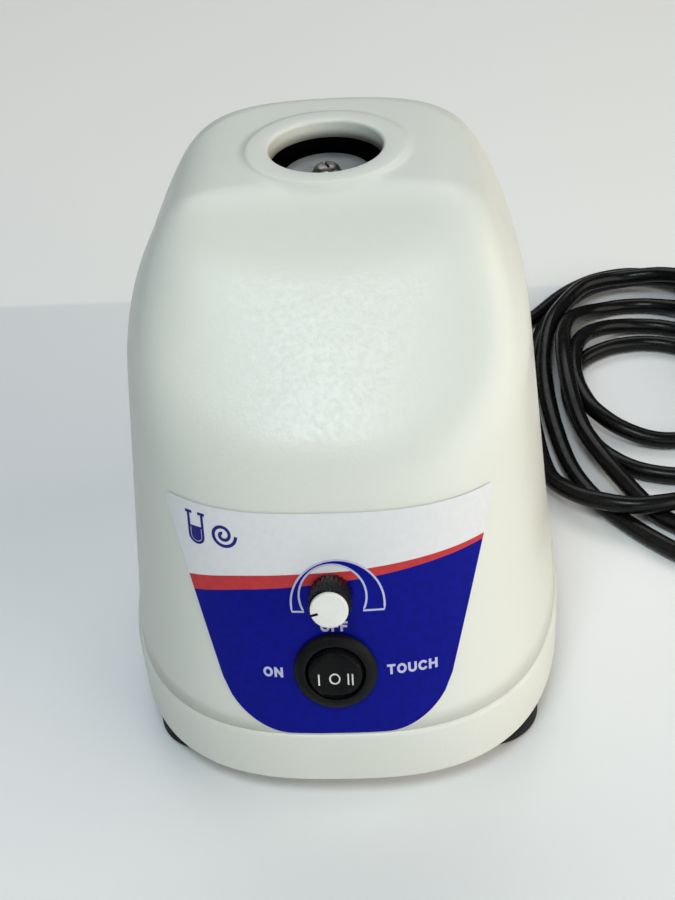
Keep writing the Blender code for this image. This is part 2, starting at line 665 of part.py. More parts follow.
def make_carrier(dark, steel, peg_steel, carrier_axis):
    crank_socket = BEARING_R + GAP
    sink = CARRIER_TOP - 0.6  # the screw's head stands in a shallow sink, clear of the cup's seat
    carrier = [(2.3, CARRIER_TOP - 14.0), (2.3, sink), (4.5, sink), (4.5, CARRIER_TOP),
               (CARRIER_R - 0.8, CARRIER_TOP), (CARRIER_R, CARRIER_TOP - 0.8),
               (CARRIER_R, CARRIER_TOP - 4.0), (9.0, CARRIER_TOP - 6.5),
               (9.0, FLANGE_TOP + 2.0), (11.0, FLANGE_TOP), (FLANGE_R - 0.8, FLANGE_TOP),
               (FLANGE_R, FLANGE_TOP - 0.8), (FLANGE_R, FLANGE_BOTTOM), (crank_socket + 2.2, FLANGE_BOTTOM),
               (crank_socket + 2.2, 110.5), (crank_socket, 110.5), (crank_socket, FLANGE_BOTTOM)]
    body = turned("cup_carrier", carrier, dark, parent=carrier_axis, sides=26)
    peg_place = (PEG_AWAY, 0, 0)
    drill(body, "peg_hole", PEG_R + GAP, FLANGE_BOTTOM - 3, FLANGE_BOTTOM + 2.2, peg_place, carrier_axis)
    base = HUB_TOP + 1.2 + GAP
    bearing = [(CRANK_R + GAP, base), (BEARING_R, base), (BEARING_R, base + BEARING_H),
               (CRANK_R + GAP, base + BEARING_H)]
    turned("carrier_bearing", bearing, steel, parent=carrier_axis, sides=22, closed=True)
    screw = [(2.0, CARRIER_TOP - 12.0), (2.0, sink + GAP), (4.0, sink + GAP),
             (4.0, CARRIER_TOP + 1.0), (3.1, CARRIER_TOP + 2.2), (1.6, CARRIER_TOP + 2.7)]
    turned("carrier_screw", screw, steel, parent=carrier_axis, sides=20)
    peg = [(1.5, CAP_TOP + 1.2), (PEG_R, CAP_TOP + 1.8), (PEG_R, FLANGE_BOTTOM + 1.9)]
    turned("orbit_peg", peg, peg_steel, place=peg_place, parent=carrier_axis, sides=12)


# ---------------------------------------------------------------- electrical parts

def make_electrics(plastic, green, aluminium, blue, white):
    at = (0, TOUCH_SWITCH_Y, 0)
    body = block("touch_switch", (-10, -3.3, FLOOR_Z + GAP), (10, 3.3, 25.0), plastic, place=at)
    pocket = block("button_pocket", (-4.8, -1.8, 19.3), (-1.2, 1.8, 27.0), plastic, place=at)
    boolean(body, as_cutter(pocket))
    button_top = (-3.0, TOUCH_SWITCH_Y, PLATE_BOTTOM - 0.4)
    block("touch_button", (-1.5, -1.5, -6.0), (1.5, 1.5, 0.0), blue, place=button_top)
    x, y = BOARD_HALF_X, BOARD_HALF_Y
    middle = (0, BOARD_Y, 0)
    block("circuit_board", (-x, -y, BOARD_Z), (x, y, BOARD_Z + BOARD_THICK), green, place=middle)
    rail = block("board_rail", (-x + 6, -5, FLOOR_Z + GAP), (x - 6, 5, BOARD_Z - GAP), white, place=middle)
    bevel(rail, 0.8)
    top = BOARD_Z + BOARD_THICK + GAP
    make_heat_sink(aluminium, top)
    block("triac", (-24.0, -15.2, top), (-14.0, -11.4, top + 13.0), plastic, place=middle)
    capacitor = block("capacitor", (2.0, -14.0, top), (26.0, -5.0, top + 15.0), blue, place=middle)
    bevel(capacitor, 0.8)
    terminals = block("terminal_block", (-12.0, 8.0, top), (24.0, 18.0, top + 9.0), white, place=middle)
    bevel(terminals, 0.6)


def make_heat_sink(aluminium, top):
    """A comb of fins that stands behind the triac."""
    back, fin, fins, pitch = 2.0, 1.2, 5, 4.0
    height, reach, left = 18.0, 10.0, -29.0
    outline = [(left, 0.0), (left + pitch * fins, 0.0)]
    for i in reversed(range(fins)):
        start, end = left + pitch * i, left + pitch * (i + 1)
        outline += [(end, reach), (end - fin, reach), (end - fin, back), (start, back)]
    rings = [[(x, y, z) for x, y in outline] for z in (top, top + height)]
    solid("heat_sink", *stack(rings), aluminium, place=(0, BOARD_Y - 11.0, 0))


def make_gland(rubber):
    """The moulded strain relief: a flange on the back wall and a sleeve that thins to the cord."""
    inside = 6.0
    profile = [(GLAND_R, -inside), (GLAND_R, 0.4), (8.2, 0.4), (8.2, 2.2), (GLAND_R - 0.2, 2.8),
               (CORD_R + 1.0, GLAND_LENGTH)]
    gland = turned("strain_relief", profile, rubber, sides=16)
    gland.location = Vector((0, gland_y(), GLAND_Z)) * MM
    gland.rotation_euler = (-math.pi / 2, 0, 0)


def gland_y():
    return HALF_DEPTH - LEDGE_STEP - BACK_LEAN * (GLAND_Z - WALL_BASE_Z) + 0.6


def make_cord(pvc, plug_plastic, nickel):
    end_y = gland_y() + GLAND_LENGTH + 2 * GAP
    low = CORD_R + 0.05
    lead = [(0, end_y, GLAND_Z), (0.1, end_y + 8, 39.4), (2.0, end_y + 20, 31.0), (8.0, end_y + 31, 20.0),
            (18.0, end_y + 39, 9.5), (31.0, end_y + 43, low), (45.0, end_y + 44, low),
            (57.0, end_y + 46, low), (66.5, end_y + 50, low)]
    tube("power_cord", lead, CORD_R, pvc, 3)
    make_coil(pvc)
    back = (*PLUG_BACK, PLUG_Z)
    tail = [(167.5, back[1] + 49, low), (174.0, back[1] + 40, low), (179.5, back[1] + 26, low + 2.0),
            (back[0], back[1] + 9, PLUG_Z - 0.3), (back[0], back[1] + 2 * GAP, PLUG_Z)]
    tube("plug_cord", tail, CORD_R, pvc, 3)
    make_plug(plug_plastic, nickel)


def make_coil(pvc):
    (outer_x, outer_y), (inner_x, inner_y) = COIL_OUTER, COIL_INNER
    profile = [(inner_x, inner_y, 1.5), (inner_x + 1.5, inner_y + 1.5, 0.0),
               (outer_x - 1.5, outer_y - 1.5, 0.0), (outer_x, outer_y, 1.5),
               (outer_x, outer_y, COIL_TOP - 4), (outer_x - 4, outer_y - 4, COIL_TOP),
               (inner_x + 4, inner_y + 4, COIL_TOP), (inner_x, inner_y, COIL_TOP - 4)]
    sides = 32
    rings = [[(half_x * math.cos(TURN * i / sides), half_y * math.sin(TURN * i / sides), z)
              for i in range(sides)] for half_x, half_y, z in profile]
    solid("cord_coil", *stack(rings, closed=True), pvc, place=(COIL_X, COIL_Y, 0))


def make_plug(plastic, nickel):
    """A moulded plug lying on its side, its back end towards the coil."""
    frame = make_empty("plug_frame", (*PLUG_BACK, 0))
    frame.rotation_euler = (0, 0, PLUG_TURN)
    sections = [(0.0, 4.4, 4.4), (6.0, 5.2, 5.2), (12.0, 9.0, 7.6), (18.0, 12.2, 9.6), (31.0, 12.6, 10.2),
                (PLUG_LENGTH, 12.6, 10.2)]
    rings = []
    for x, half_y, half_z in sections:
        rings.append([(x, half_y * rounded(math.cos(TURN * i / 16)),
                       PLUG_Z + half_z * rounded(math.sin(TURN * i / 16))) for i in range(16)])
    solid("plug_body", *stack(rings), plastic, parent=frame)
    reach = PLUG_LENGTH + GAP
    for name, y in (("plug_blade_1", -6.35), ("plug_blade_2", 6.35)):
        blade = block(name, (reach, y - 0.75, 7.2), (reach + 17.0, y + 0.75, 13.4), nickel, parent=frame)
        bevel(blade, 0.4, 1)


def rounded(value):
    """A cosine or sine pushed outwards, which squares up a round section a little."""
    return math.copysign(abs(value) ** 0.7, value)


# ---------------------------------------------------------------- assembly

def main():
    clear_scene()
    paint = make_material("cream_paint", (0.78, 0.77, 0.70), 0.42)
    film = make_material("printed_film", (0.06, 0.06, 0.42), 0.35)
    black = make_material("black_plastic", (0.015, 0.015, 0.016), 0.35)
    white = make_material("white_plastic", (0.85, 0.85, 0.83), 0.4)
    rubber = make_material("black_rubber", (0.02, 0.02, 0.02), 0.8)
    pvc = make_material("black_pvc", (0.012, 0.012, 0.014), 0.3)
    steel = make_material("bright_steel", (0.6, 0.6, 0.6), 0.25, 1.0)
    spring_steel = make_material("spring_steel", (0.35, 0.35, 0.36), 0.35, 1.0)
    zinc = make_material("zinc_plate", (0.55, 0.56, 0.55), 0.4, 1.0)
    can_metal = make_material("motor_paint", (0.05, 0.05, 0.06), 0.5)
    iron = make_material("lamination_iron", (0.25, 0.25, 0.26), 0.55, 1.0)
    copper = make_material("enamelled_copper", (0.6, 0.25, 0.1), 0.35, 1.0)
    brass = make_material("brass", (0.7, 0.5, 0.2), 0.3, 1.0)
    dark = make_material("dark_anodised", (0.06, 0.06, 0.065), 0.4, 0.6)
    green = make_material("board_green", (0.02, 0.16, 0.06), 0.45)
    blue = make_material("blue_plastic", (0.05, 0.12, 0.4), 0.4)
    aluminium = make_material("aluminium", (0.7, 0.7, 0.72), 0.35, 1.0)

    panel_at_knob = make_empty("knob_axis", (0, panel_y(KNOB_Z), KNOB_Z), math.pi / 2 - PANEL_TILT)
    panel_at_switch = make_empty("rocker_axis", (0, panel_y(SWITCH_Z), SWITCH_Z), math.pi / 2 - PANEL_TILT)
    rotor_axis = make_empty("rotor_axis", (0, HEAD_Y, 0))
    carrier_axis = make_empty("carrier_axis", (0, HEAD_Y - THROW, 0))
    for axis in (rotor_axis, carrier_axis):
        axis.rotation_euler = (0, 0, -math.pi / 2)  # at rest the crank pin stands towards the operator
    bpy.context.view_layer.update()

    make_base_pan(paint)
    make_feet(rubber, steel)
    cover = make_top_cover(paint)
    label = make_label(film)
    for item in (cover, label):
        cut_panel_holes(item, panel_at_knob, panel_at_switch)
    cut_gland_hole(cover)
    make_speed_control(black, white, steel, panel_at_knob)
    make_switch(black, panel_at_switch)
    make_suspension(steel, spring_steel, zinc)
    make_motor(can_metal, zinc, iron, copper, steel, rubber)
    make_rotor(steel, brass, rotor_axis)
    make_carrier(dark, steel, steel, carrier_axis)
    make_electrics(black, green, aluminium, blue, white)
    make_gland(rubber)
    make_cord(pvc, black, steel)


main()
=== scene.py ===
"""Looks of the vortex mixer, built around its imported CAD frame.

Lengths are in millimetres and become metres in one place, solid(), and in the cord's curve. The frame
is the CAD's: the origin on the table under the housing, +Z up, +X to the right, -Y to the operator.
"""

import json
import math

import bmesh
import bpy
from mathutils import Matrix, Vector

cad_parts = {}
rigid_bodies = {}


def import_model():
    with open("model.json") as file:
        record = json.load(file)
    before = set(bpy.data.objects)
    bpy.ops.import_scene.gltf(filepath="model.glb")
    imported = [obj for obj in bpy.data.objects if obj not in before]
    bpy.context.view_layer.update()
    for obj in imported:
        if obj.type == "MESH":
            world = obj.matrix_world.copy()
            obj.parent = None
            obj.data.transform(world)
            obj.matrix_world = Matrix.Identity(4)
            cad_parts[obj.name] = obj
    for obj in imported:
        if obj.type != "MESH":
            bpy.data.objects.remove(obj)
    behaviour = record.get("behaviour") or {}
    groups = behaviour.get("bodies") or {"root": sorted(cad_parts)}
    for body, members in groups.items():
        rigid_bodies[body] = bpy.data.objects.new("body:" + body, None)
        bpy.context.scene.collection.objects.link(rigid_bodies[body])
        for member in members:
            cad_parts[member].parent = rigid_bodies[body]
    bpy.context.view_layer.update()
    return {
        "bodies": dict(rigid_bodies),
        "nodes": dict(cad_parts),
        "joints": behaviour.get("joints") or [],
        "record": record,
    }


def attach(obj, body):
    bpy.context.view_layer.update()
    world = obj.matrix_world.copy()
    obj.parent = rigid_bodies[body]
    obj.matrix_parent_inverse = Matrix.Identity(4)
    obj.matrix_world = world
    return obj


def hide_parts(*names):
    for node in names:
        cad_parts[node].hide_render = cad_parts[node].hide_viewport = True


MM = 0.001
TURN = 2 * math.pi

# Housing, as in the CAD.
HALF_WIDTH = 67.3
HALF_DEPTH = 82.2
BAND_BOTTOM = 8.8
LEDGE_Z = 28.0
WALL_BASE_Z = 29.9
LEDGE_STEP = 1.2
TOP_Z = 153.1
SKIN = 2.6
FRONT_POWER = 2.75
BACK_POWER = 3.35
FRONT_LEAN = 0.292
SIDE_LEAN = 0.093
BACK_LEAN = 0.053
SLOPE_START_Y = -0.6
SLOPE = 0.824
SLOPE_RUN = 62.5
SLOPE_BLEND = 12.0  # half the length over which the top bends into the slope, at the sides
MIDDLE_BLEND = 18.0  # and in the middle
CROWN = 0.00285
SCOOP_DEPTH = 36.9
SCOOP_X = 53.7
SCOOP_SOFT = 4.67
SCOOP_FRONT_Y = -55.6
SCOOP_BACK_Y = 23.4
SHOULDER_ROUND = 10.5
COLUMNS = 176

# Head opening and what shows in it.
HEAD_Y = 35.5
HOLE_R = 17.1
HOLE_WALL = 5.6
COLLAR_RISE = 0.8
COLLAR_R = 23.6
COLLAR_FOOT_R = 26.2
THROW = 2.0
CARRIER_TOP = 146.0
CARRIER_R = 13.5

# Base.
FLOOR_Z = 12.0
RIM_INSET = 6.5
RIM_THICK = 2.0
RIM_TOP = 33.0
FEET = [(x, y) for y in (-48.0, 52.0) for x in (-43.5, 43.5)]
POSTS = [(x, 35.5 + y) for y in (-25.5, 25.5) for x in (-32.0, 32.0)]
FOOT_R = 15.5
FOOT_TOP = 8.5
BORE_R = 2.4

# Operator's panel.
PANEL_TILT = math.atan(FRONT_LEAN)
KNOB_Z = 72.0
SWITCH_Z = 48.7
KNOB_R = 5.9  # this and the cap lie just inside the CAD's radii
KNOB_TOP = 10.2
CAP_R = 5.15
SWITCH_R = 11.7
SWITCH_BODY_R = 9.9
KNOB_BORE_R = 3.9
SWITCH_BORE_R = SWITCH_BODY_R + 0.3
GLAND_BORE_R = 6.3
SWITCH_DEPTH = 21.0
ROCKER_R = 8.1
POCKET_R = 8.4
LABEL_TOP_Z = 94.4
LABEL_BOTTOM_Z = 28.9
LABEL_TOP_HALF = 45.0
LABEL_CORNER = 15.0
FILM_LIFT = 0.5  # the film's face over the paint
INK = 0.03  # one layer of ink over the last

# Cord and strain relief.
GLAND_Z = 40.0
GLAND_LENGTH = 32.0
CORD_R = 3.25


# ---------------------------------------------------------------- mesh helpers

def solid(name, points, faces, material, parent_matrix=None, smooth_angle=30):
    """An object at the origin from points in millimetres, with faces turned outwards."""
    mesh = bpy.data.meshes.new(name)
    if parent_matrix is not None:
        points = [parent_matrix @ Vector(p) for p in points]
    mesh.from_pydata([Vector(p) * MM for p in points], [], faces)
    work = bmesh.new()
    work.from_mesh(mesh)
    bmesh.ops.recalc_face_normals(work, faces=work.faces)
    work.to_mesh(mesh)
    work.free()
    mesh.materials.append(material)
    mesh.shade_smooth()
    mesh.set_sharp_from_angle(angle=math.radians(smooth_angle))
    item = bpy.data.objects.new(name, mesh)
    bpy.context.scene.collection.objects.link(item)
    return item


def stack(rings, cap_start=True, cap_end=True, closed=False):
    """Points and faces of a skin through rings that all have the same number of points."""
    count = len(rings[0])
    points = [point for ring in rings for point in ring]
    faces = []
    last = len(rings) if closed else len(rings) - 1
    for i in range(last):
        low, high = i * count, ((i + 1) % len(rings)) * count
        for j in range(count):
            k = (j + 1) % count
            faces.append((low + j, low + k, high + k, high + j))
    if cap_start and not closed:
        faces.append(tuple(range(count)))
    if cap_end and not closed:
        faces.append(tuple(range((len(rings) - 1) * count, len(rings) * count)))
    return points, faces


def circle(radius, z, sides, center=(0.0, 0.0)):
    return [(center[0] + radius * math.cos(TURN * i / sides),
             center[1] + radius * math.sin(TURN * i / sides), z) for i in range(sides)]


def turned(name, profile, material, place=(0, 0, 0), matrix=None, sides=64, closed=False, smooth_angle=30):
    """A turned piece about its own Z, from (radius, height) points."""
    rings = [circle(radius, z, sides) for radius, z in profile]
    where = Matrix.Translation(place) if matrix is None else matrix @ Matrix.Translation(place)
    return solid(name, *stack(rings, closed=closed), material, where, smooth_angle)


def arc(center, radius, start, end, steps):
    """Points of a profile's rounding, angles in degrees."""
    return [(center[0] + radius * math.cos(math.radians(start + (end - start) * i / steps)),
             center[1] + radius * math.sin(math.radians(start + (end - start) * i / steps)))
            for i in range(steps + 1)]


def joined(name, parts):
    """One object from several of the same material."""
    material = parts[0].data.materials[0]
    work = bmesh.new()
    for part in parts:
        work.from_mesh(part.data)
        bpy.data.objects.remove(part)
    mesh = bpy.data.meshes.new(name)
    work.to_mesh(mesh)
    work.free()
    mesh.materials.append(material)
    item = bpy.data.objects.new(name, mesh)
    bpy.context.scene.collection.objects.link(item)
    return item


def take(item, tool):
    """Takes a hidden helper's shape out of a piece."""
    tool.hide_render = True
    tool.hide_viewport = True
    modifier = item.modifiers.new(tool.name, "BOOLEAN")
    modifier.operation = "DIFFERENCE"
    modifier.solver = "EXACT"
    modifier.object = tool


def cut(item, profile, place=(0, 0, 0), matrix=None, sides=48):
    """Takes a turned shape out of a piece."""
    take(item, turned(f"{item.name}_cutter", profile, item.data.materials[0], place, matrix, sides))


def bore(item, radius, frame, reach=9.0):
    """Takes a round hole out of a piece, this far to each side of a frame."""
    cut(item, [(radius, -reach), (radius, reach)], matrix=frame)


def finish(item, body, slot, *nodes):
    """Rides on its body and takes the place of its CAD nodes; its slot argument is not used."""
    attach(item, body)
    if nodes:
        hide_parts(*nodes)
    return item


# ---------------------------------------------------------------- materials

def new_material(name, roughness, metallic=0.0, specular=0.5):
    material = bpy.data.materials.new(name)
    material.use_nodes = True
    nodes, links = material.node_tree.nodes, material.node_tree.links
    shader = nodes["Principled BSDF"]
    shader.inputs["Roughness"].default_value = roughness
    shader.inputs["Metallic"].default_value = metallic
    shader.inputs["Specular IOR Level"].default_value = specular
    place = nodes.new("ShaderNodeTexCoord").outputs["Object"]
    return material, nodes, links, shader, place


def noise(nodes, links, place, grain_mm, detail=3.0, stretch=None):
    """A noise whose grains are about this many millimetres across."""
    texture = nodes.new("ShaderNodeTexNoise")
    texture.inputs["Scale"].default_value = 500.0 / grain_mm
    texture.inputs["Detail"].default_value = detail
    if stretch:
        mapping = nodes.new("ShaderNodeMapping")
        mapping.inputs["Scale"].default_value = stretch
        links.new(place, mapping.inputs["Vector"])
        place = mapping.outputs["Vector"]
    links.new(place, texture.inputs["Vector"])
    return texture.outputs["Fac"]


def ramp(nodes, links, source, stops):
    """A colour or grey that follows a source from 0 to 1."""
    node = nodes.new("ShaderNodeValToRGB")
    elements = node.color_ramp.elements
    while len(elements) < len(stops):
        elements.new(0.5)
    for element, (position, color) in zip(elements, stops, strict=True):
        element.position = position
        element.color = (*color, 1.0) if len(color) == 3 else color
    links.new(source, node.inputs["Fac"])
    return node.outputs["Color"]


def grey(value):
    return (value, value, value)


def bump(nodes, links, shader, height, depth_mm, strength=1.0):
    node = nodes.new("ShaderNodeBump")
    node.inputs["Strength"].default_value = strength
    node.inputs["Distance"].default_value = depth_mm * MM
    links.new(height, node.inputs["Height"])
    links.new(node.outputs["Normal"], shader.inputs["Normal"])
    return node


def follow(nodes, links, source, shader, entry, low, high, start=0.3, stop=0.7):
    """Makes one entry of the shader follow a source, from a low value to a high one."""
    links.new(ramp(nodes, links, source, [(start, low), (stop, high)]), shader.inputs[entry])


def grained(name, light, dark, grain_mm, roughness, metallic=0.0, depth_mm=0.0, stretch=None, spread=0.08,
            specular=0.5):
    """A general finish: the colour drifts between two tones, and gloss and height follow a fine grain."""
    material, nodes, links, shader, place = new_material(name, roughness, metallic, specular)
    patches = noise(nodes, links, place, grain_mm * 6, 4.0, stretch)
    follow(nodes, links, patches, shader, "Base Color", dark, light)
    fine = noise(nodes, links, place, grain_mm, 4.0, stretch)
    low, high = max(roughness - spread, 0.02), min(roughness + spread, 1.0)
    follow(nodes, links, fine, shader, "Roughness", grey(low), grey(high))
    if depth_mm:
        bump(nodes, links, shader, fine, depth_mm)
    return material


def pebbled_paint(name, light, dark):
    """Cream textured paint: soft grains under a millimetre across, which glint where the light falls."""
    material, nodes, links, shader, place = new_material(name, 0.36, specular=0.42)
    patches = noise(nodes, links, place, 70.0, 3.0)
    follow(nodes, links, patches, shader, "Base Color", dark, light)
    fine = noise(nodes, links, place, 0.8, 2.0)
    follow(nodes, links, fine, shader, "Roughness", grey(0.29), grey(0.42), 0.35, 0.65)
    shader.inputs["Coat Weight"].default_value = 0.08
    shader.inputs["Coat Roughness"].default_value = 0.25
    bump(nodes, links, shader, noise(nodes, links, place, 0.5, 1.5), 0.05, 0.8)
    return material


def printed_film(name, light, dark, roughness=0.34, specular=0.2):
    """Satin film with ink: nearly even, with the slight mottle of a printed sheet."""
    material, nodes, links, shader, place = new_material(name, roughness, specular=specular)
    mottle = noise(nodes, links, place, 1.1, 3.0)
    follow(nodes, links, mottle, shader, "Base Color", dark, light)
    follow(nodes, links, mottle, shader, "Roughness", grey(roughness - 0.05), grey(roughness + 0.07))
    ripple = noise(nodes, links, place, 2.5, 1.0)
    bump(nodes, links, shader, ripple, 0.02, 0.35)
    return material


def make_materials():
    """Every finish, by the name that the pieces use for it."""
    look = {}

    def add(make, name, *tones, **options):
        look[name] = make(name, *tones, **options)

    add(pebbled_paint, "cream_paint", (0.76, 0.775, 0.705), (0.72, 0.735, 0.67))
    add(printed_film, "film_white", (0.77, 0.77, 0.78), (0.73, 0.74, 0.755))
    add(printed_film, "film_blue", (0.002, 0.005, 0.26), (0.001, 0.004, 0.21), specular=0.1)
    add(printed_film, "film_red", (0.57, 0.05, 0.05), (0.49, 0.04, 0.045), specular=0.15)
    add(printed_film, "ink_pale", (0.58, 0.58, 0.76), (0.52, 0.52, 0.70))
    add(grained, "black_plastic", (0.007, 0.007, 0.0075), (0.004, 0.004, 0.0045), 0.5, 0.26,
        depth_mm=0.01, specular=0.1)
    add(grained, "bezel_plastic", (0.010, 0.010, 0.012), (0.006, 0.006, 0.007), 0.7, 0.40, depth_mm=0.03,
        specular=0.1)
    add(grained, "white_plastic", (0.84, 0.84, 0.80), (0.78, 0.78, 0.74), 0.6, 0.34, depth_mm=0.01)
    add(grained, "mark_white", (0.80, 0.80, 0.80), (0.68, 0.68, 0.68), 0.3, 0.5)
    add(grained, "black_rubber", (0.018, 0.018, 0.017), (0.009, 0.009, 0.009), 0.9, 0.68, depth_mm=0.05,
        specular=0.3)
    add(grained, "black_pvc", (0.006, 0.006, 0.006), (0.0035, 0.0035, 0.0035), 1.6, 0.26, depth_mm=0.015,
        spread=0.06, specular=0.2)
    add(grained, "bright_steel", (0.66, 0.66, 0.66), (0.52, 0.52, 0.53), 0.5, 0.26, 1.0, depth_mm=0.01,
        stretch=(1, 1, 6))
    add(grained, "dull_steel", (0.24, 0.235, 0.225), (0.15, 0.145, 0.14), 0.4, 0.33, 1.0, 0.02)
    add(grained, "spring_steel", (0.42, 0.42, 0.43), (0.28, 0.28, 0.3), 0.5, 0.34, 1.0, 0.01)
    add(grained, "zinc_plate", (0.62, 0.63, 0.60), (0.5, 0.5, 0.46), 1.5, 0.38, 1.0, 0.02)
    add(grained, "motor_paint", (0.06, 0.06, 0.07), (0.035, 0.035, 0.04), 0.8, 0.45, 0.0, 0.03)
    add(grained, "lamination_iron", (0.3, 0.3, 0.31), (0.16, 0.15, 0.15), 0.6, 0.5, 1.0, 0.05,
        (0.2, 0.2, 6))
    add(grained, "enamelled_copper", (0.66, 0.27, 0.1), (0.42, 0.14, 0.05), 0.5, 0.33, 1.0, 0.08,
        (0.3, 0.3, 5))
    add(grained, "brass", (0.74, 0.55, 0.24), (0.6, 0.42, 0.16), 0.5, 0.3, 1.0, 0.01)
    add(grained, "dark_anodised", (0.24, 0.26, 0.27), (0.165, 0.18, 0.19), 0.5, 0.38, 0.8, 0.02)
    add(grained, "board_green", (0.03, 0.2, 0.08), (0.015, 0.12, 0.05), 1.4, 0.42, 0.0, 0.02)
    add(grained, "blue_plastic", (0.06, 0.15, 0.45), (0.04, 0.1, 0.34), 0.8, 0.36, 0.0, 0.02)
    add(grained, "aluminium", (0.74, 0.74, 0.76), (0.6, 0.6, 0.62), 0.6, 0.36, 1.0, 0.02, (1, 6, 1))
    # painted shade: a near-black finish for the housing's inside face, so that the opening round the head
    # reads dark
    add(grained, "dark_primer", (0.02, 0.02, 0.02), (0.012, 0.012, 0.012), 1.0, 0.7, depth_mm=0.04,
        specular=0.2)
    add(printed_film, "dark_ink", (0.016, 0.018, 0.22), (0.012, 0.013, 0.16))
    return look


# ---------------------------------------------------------------- housing shape, as in the CAD

def smooth_step(t):
    t = min(max(t, 0.0), 1.0)
    return t * t * (3 - 2 * t)


def soft_ramp(t, blend):
    """0 below -blend, t above +blend, and a parabola that joins the two."""
    if t <= -blend:
        return 0.0
    if t >= blend:
        return t
    return (t + blend) ** 2 / (4 * blend)


def plan_point(turn, z, inset=0.0):
    """The point of the D-shaped wall at height z that the angle turn looks at."""
    rise = z - WALL_BASE_Z
    c, s = math.cos(turn), math.sin(turn)
    half_x = HALF_WIDTH - inset - SIDE_LEAN * rise
    lean, power = (FRONT_LEAN, FRONT_POWER) if s < 0 else (BACK_LEAN, BACK_POWER)
    half_y = HALF_DEPTH - inset - lean * rise
    reach = (abs(c / half_x) ** power + abs(s / half_y) ** power) ** (-1 / power)
    return reach * c, reach * s, z


def panel_y(z):
    return -HALF_DEPTH + LEDGE_STEP + FRONT_LEAN * (z - WALL_BASE_Z)


def wall_y(x, z):
    """Where the front half of the wall is at this x and height."""
    half_x = HALF_WIDTH - LEDGE_STEP - SIDE_LEAN * (z - WALL_BASE_Z)
    return panel_y(z) * (1 - abs(x / half_x) ** FRONT_POWER) ** (1 / FRONT_POWER)


def lifted(x, z, lift):
    """A spot over the front wall, this far out along the wall's own direction."""
    step = 0.01
    here = Vector((x, wall_y(x, z), z))
    across = Vector((x + step, wall_y(x + step, z), z)) - here
    up = Vector((x, wall_y(x, z + step), z + step)) - here
    return here + across.cross(up).normalized() * lift


def hood_z(x, y):
    """The height of the housing's upper face above this spot."""
    middle = 1 - smooth_step(abs(x) / SCOOP_X)
    run = soft_ramp(SLOPE_START_Y - y, SLOPE_BLEND + (MIDDLE_BLEND - SLOPE_BLEND) * middle)
    slope = SLOPE * run + CROWN * x * x * min(run / SLOPE_RUN, 1.2)
    share = smooth_step((y - SCOOP_FRONT_Y) / (SCOOP_BACK_Y - SCOOP_FRONT_Y))
    scoop = SCOOP_DEPTH * share / (1 + math.exp(-(abs(x) - SCOOP_X) / SCOOP_SOFT))
    return TOP_Z - slope - scoop


def shoulder_point(turn):
    """Where the wall runs into the upper face."""
    z = 120.0
    for _ in range(40):
        x, y, _z = plan_point(turn, z, LEDGE_STEP)
        z = (z + hood_z(x, y)) / 2
    return Vector((x, y, z))


def fillet_length(run):
    return min(SHOULDER_ROUND, 0.45 * run)


def housing_rings(hood_count, round_count, wall_count):
    """The housing's outside, from the opening's lower lip out over the hood and down the wall."""
    turns = [TURN * i / COLUMNS for i in range(COLUMNS)]
    shoulders = [shoulder_point(turn) for turn in turns]
    looks = [math.atan2(p.y - HEAD_Y, p.x) for p in shoulders]
    top = TOP_Z + COLLAR_RISE
    lip = arc((HOLE_R + 1.0, top - 1.0), 1.0, 180, 90, 5)
    rim = [(COLLAR_R * 0.5 + HOLE_R * 0.5, top), (COLLAR_R - 0.6, top), (COLLAR_R, top - 0.06),
           (COLLAR_R + 0.5, top - 0.22), (COLLAR_R + 1.0, top - 0.45), (COLLAR_R + 1.5, top - 0.65)]
    collar = [(HOLE_R, top - HOLE_WALL), (HOLE_R, top - HOLE_WALL / 2), *lip, *rim]
    rings = [[(r * math.cos(a), HEAD_Y + r * math.sin(a), z) for a in looks] for r, z in collar]
    feet = [Vector((COLLAR_FOOT_R * math.cos(a), HEAD_Y + COLLAR_FOOT_R * math.sin(a))) for a in looks]
    runs = [(shoulder.xy - foot).length for shoulder, foot in zip(shoulders, feet, strict=True)]
    for i in range(hood_count):
        ring = []
        for foot, shoulder, run in zip(feet, shoulders, runs, strict=True):
            stop = 1 - fillet_length(run) / run
            spot = foot.lerp(shoulder.xy, stop * i / (hood_count - 1))
            ring.append((spot.x, spot.y, hood_z(*spot)))
        rings.append(ring)
    start = [Vector(p) for p in rings[-1]]
    ends = [Vector(plan_point(turn, shoulder.z - fillet_length(run), LEDGE_STEP))
            for turn, shoulder, run in zip(turns, shoulders, runs, strict=True)]
    for i in range(1, round_count):
        t = i / round_count
        rings.append([tuple((1 - t) ** 2 * a + 2 * t * (1 - t) * b + t * t * c)
                      for a, b, c in zip(start, shoulders, ends, strict=True)])
    for i in range(wall_count):
        share = i / (wall_count - 1)
        rings.append([plan_point(turn, end.z + (LEDGE_Z + 0.3 - end.z) * share, LEDGE_STEP)
                      for turn, end in zip(turns, ends, strict=True)])
    return rings


def pan_ring(inset, z):
    return [plan_point(TURN * i / COLUMNS, WALL_BASE_Z, inset)[:2] + (z,) for i in range(COLUMNS)]


# ---------------------------------------------------------------- cord

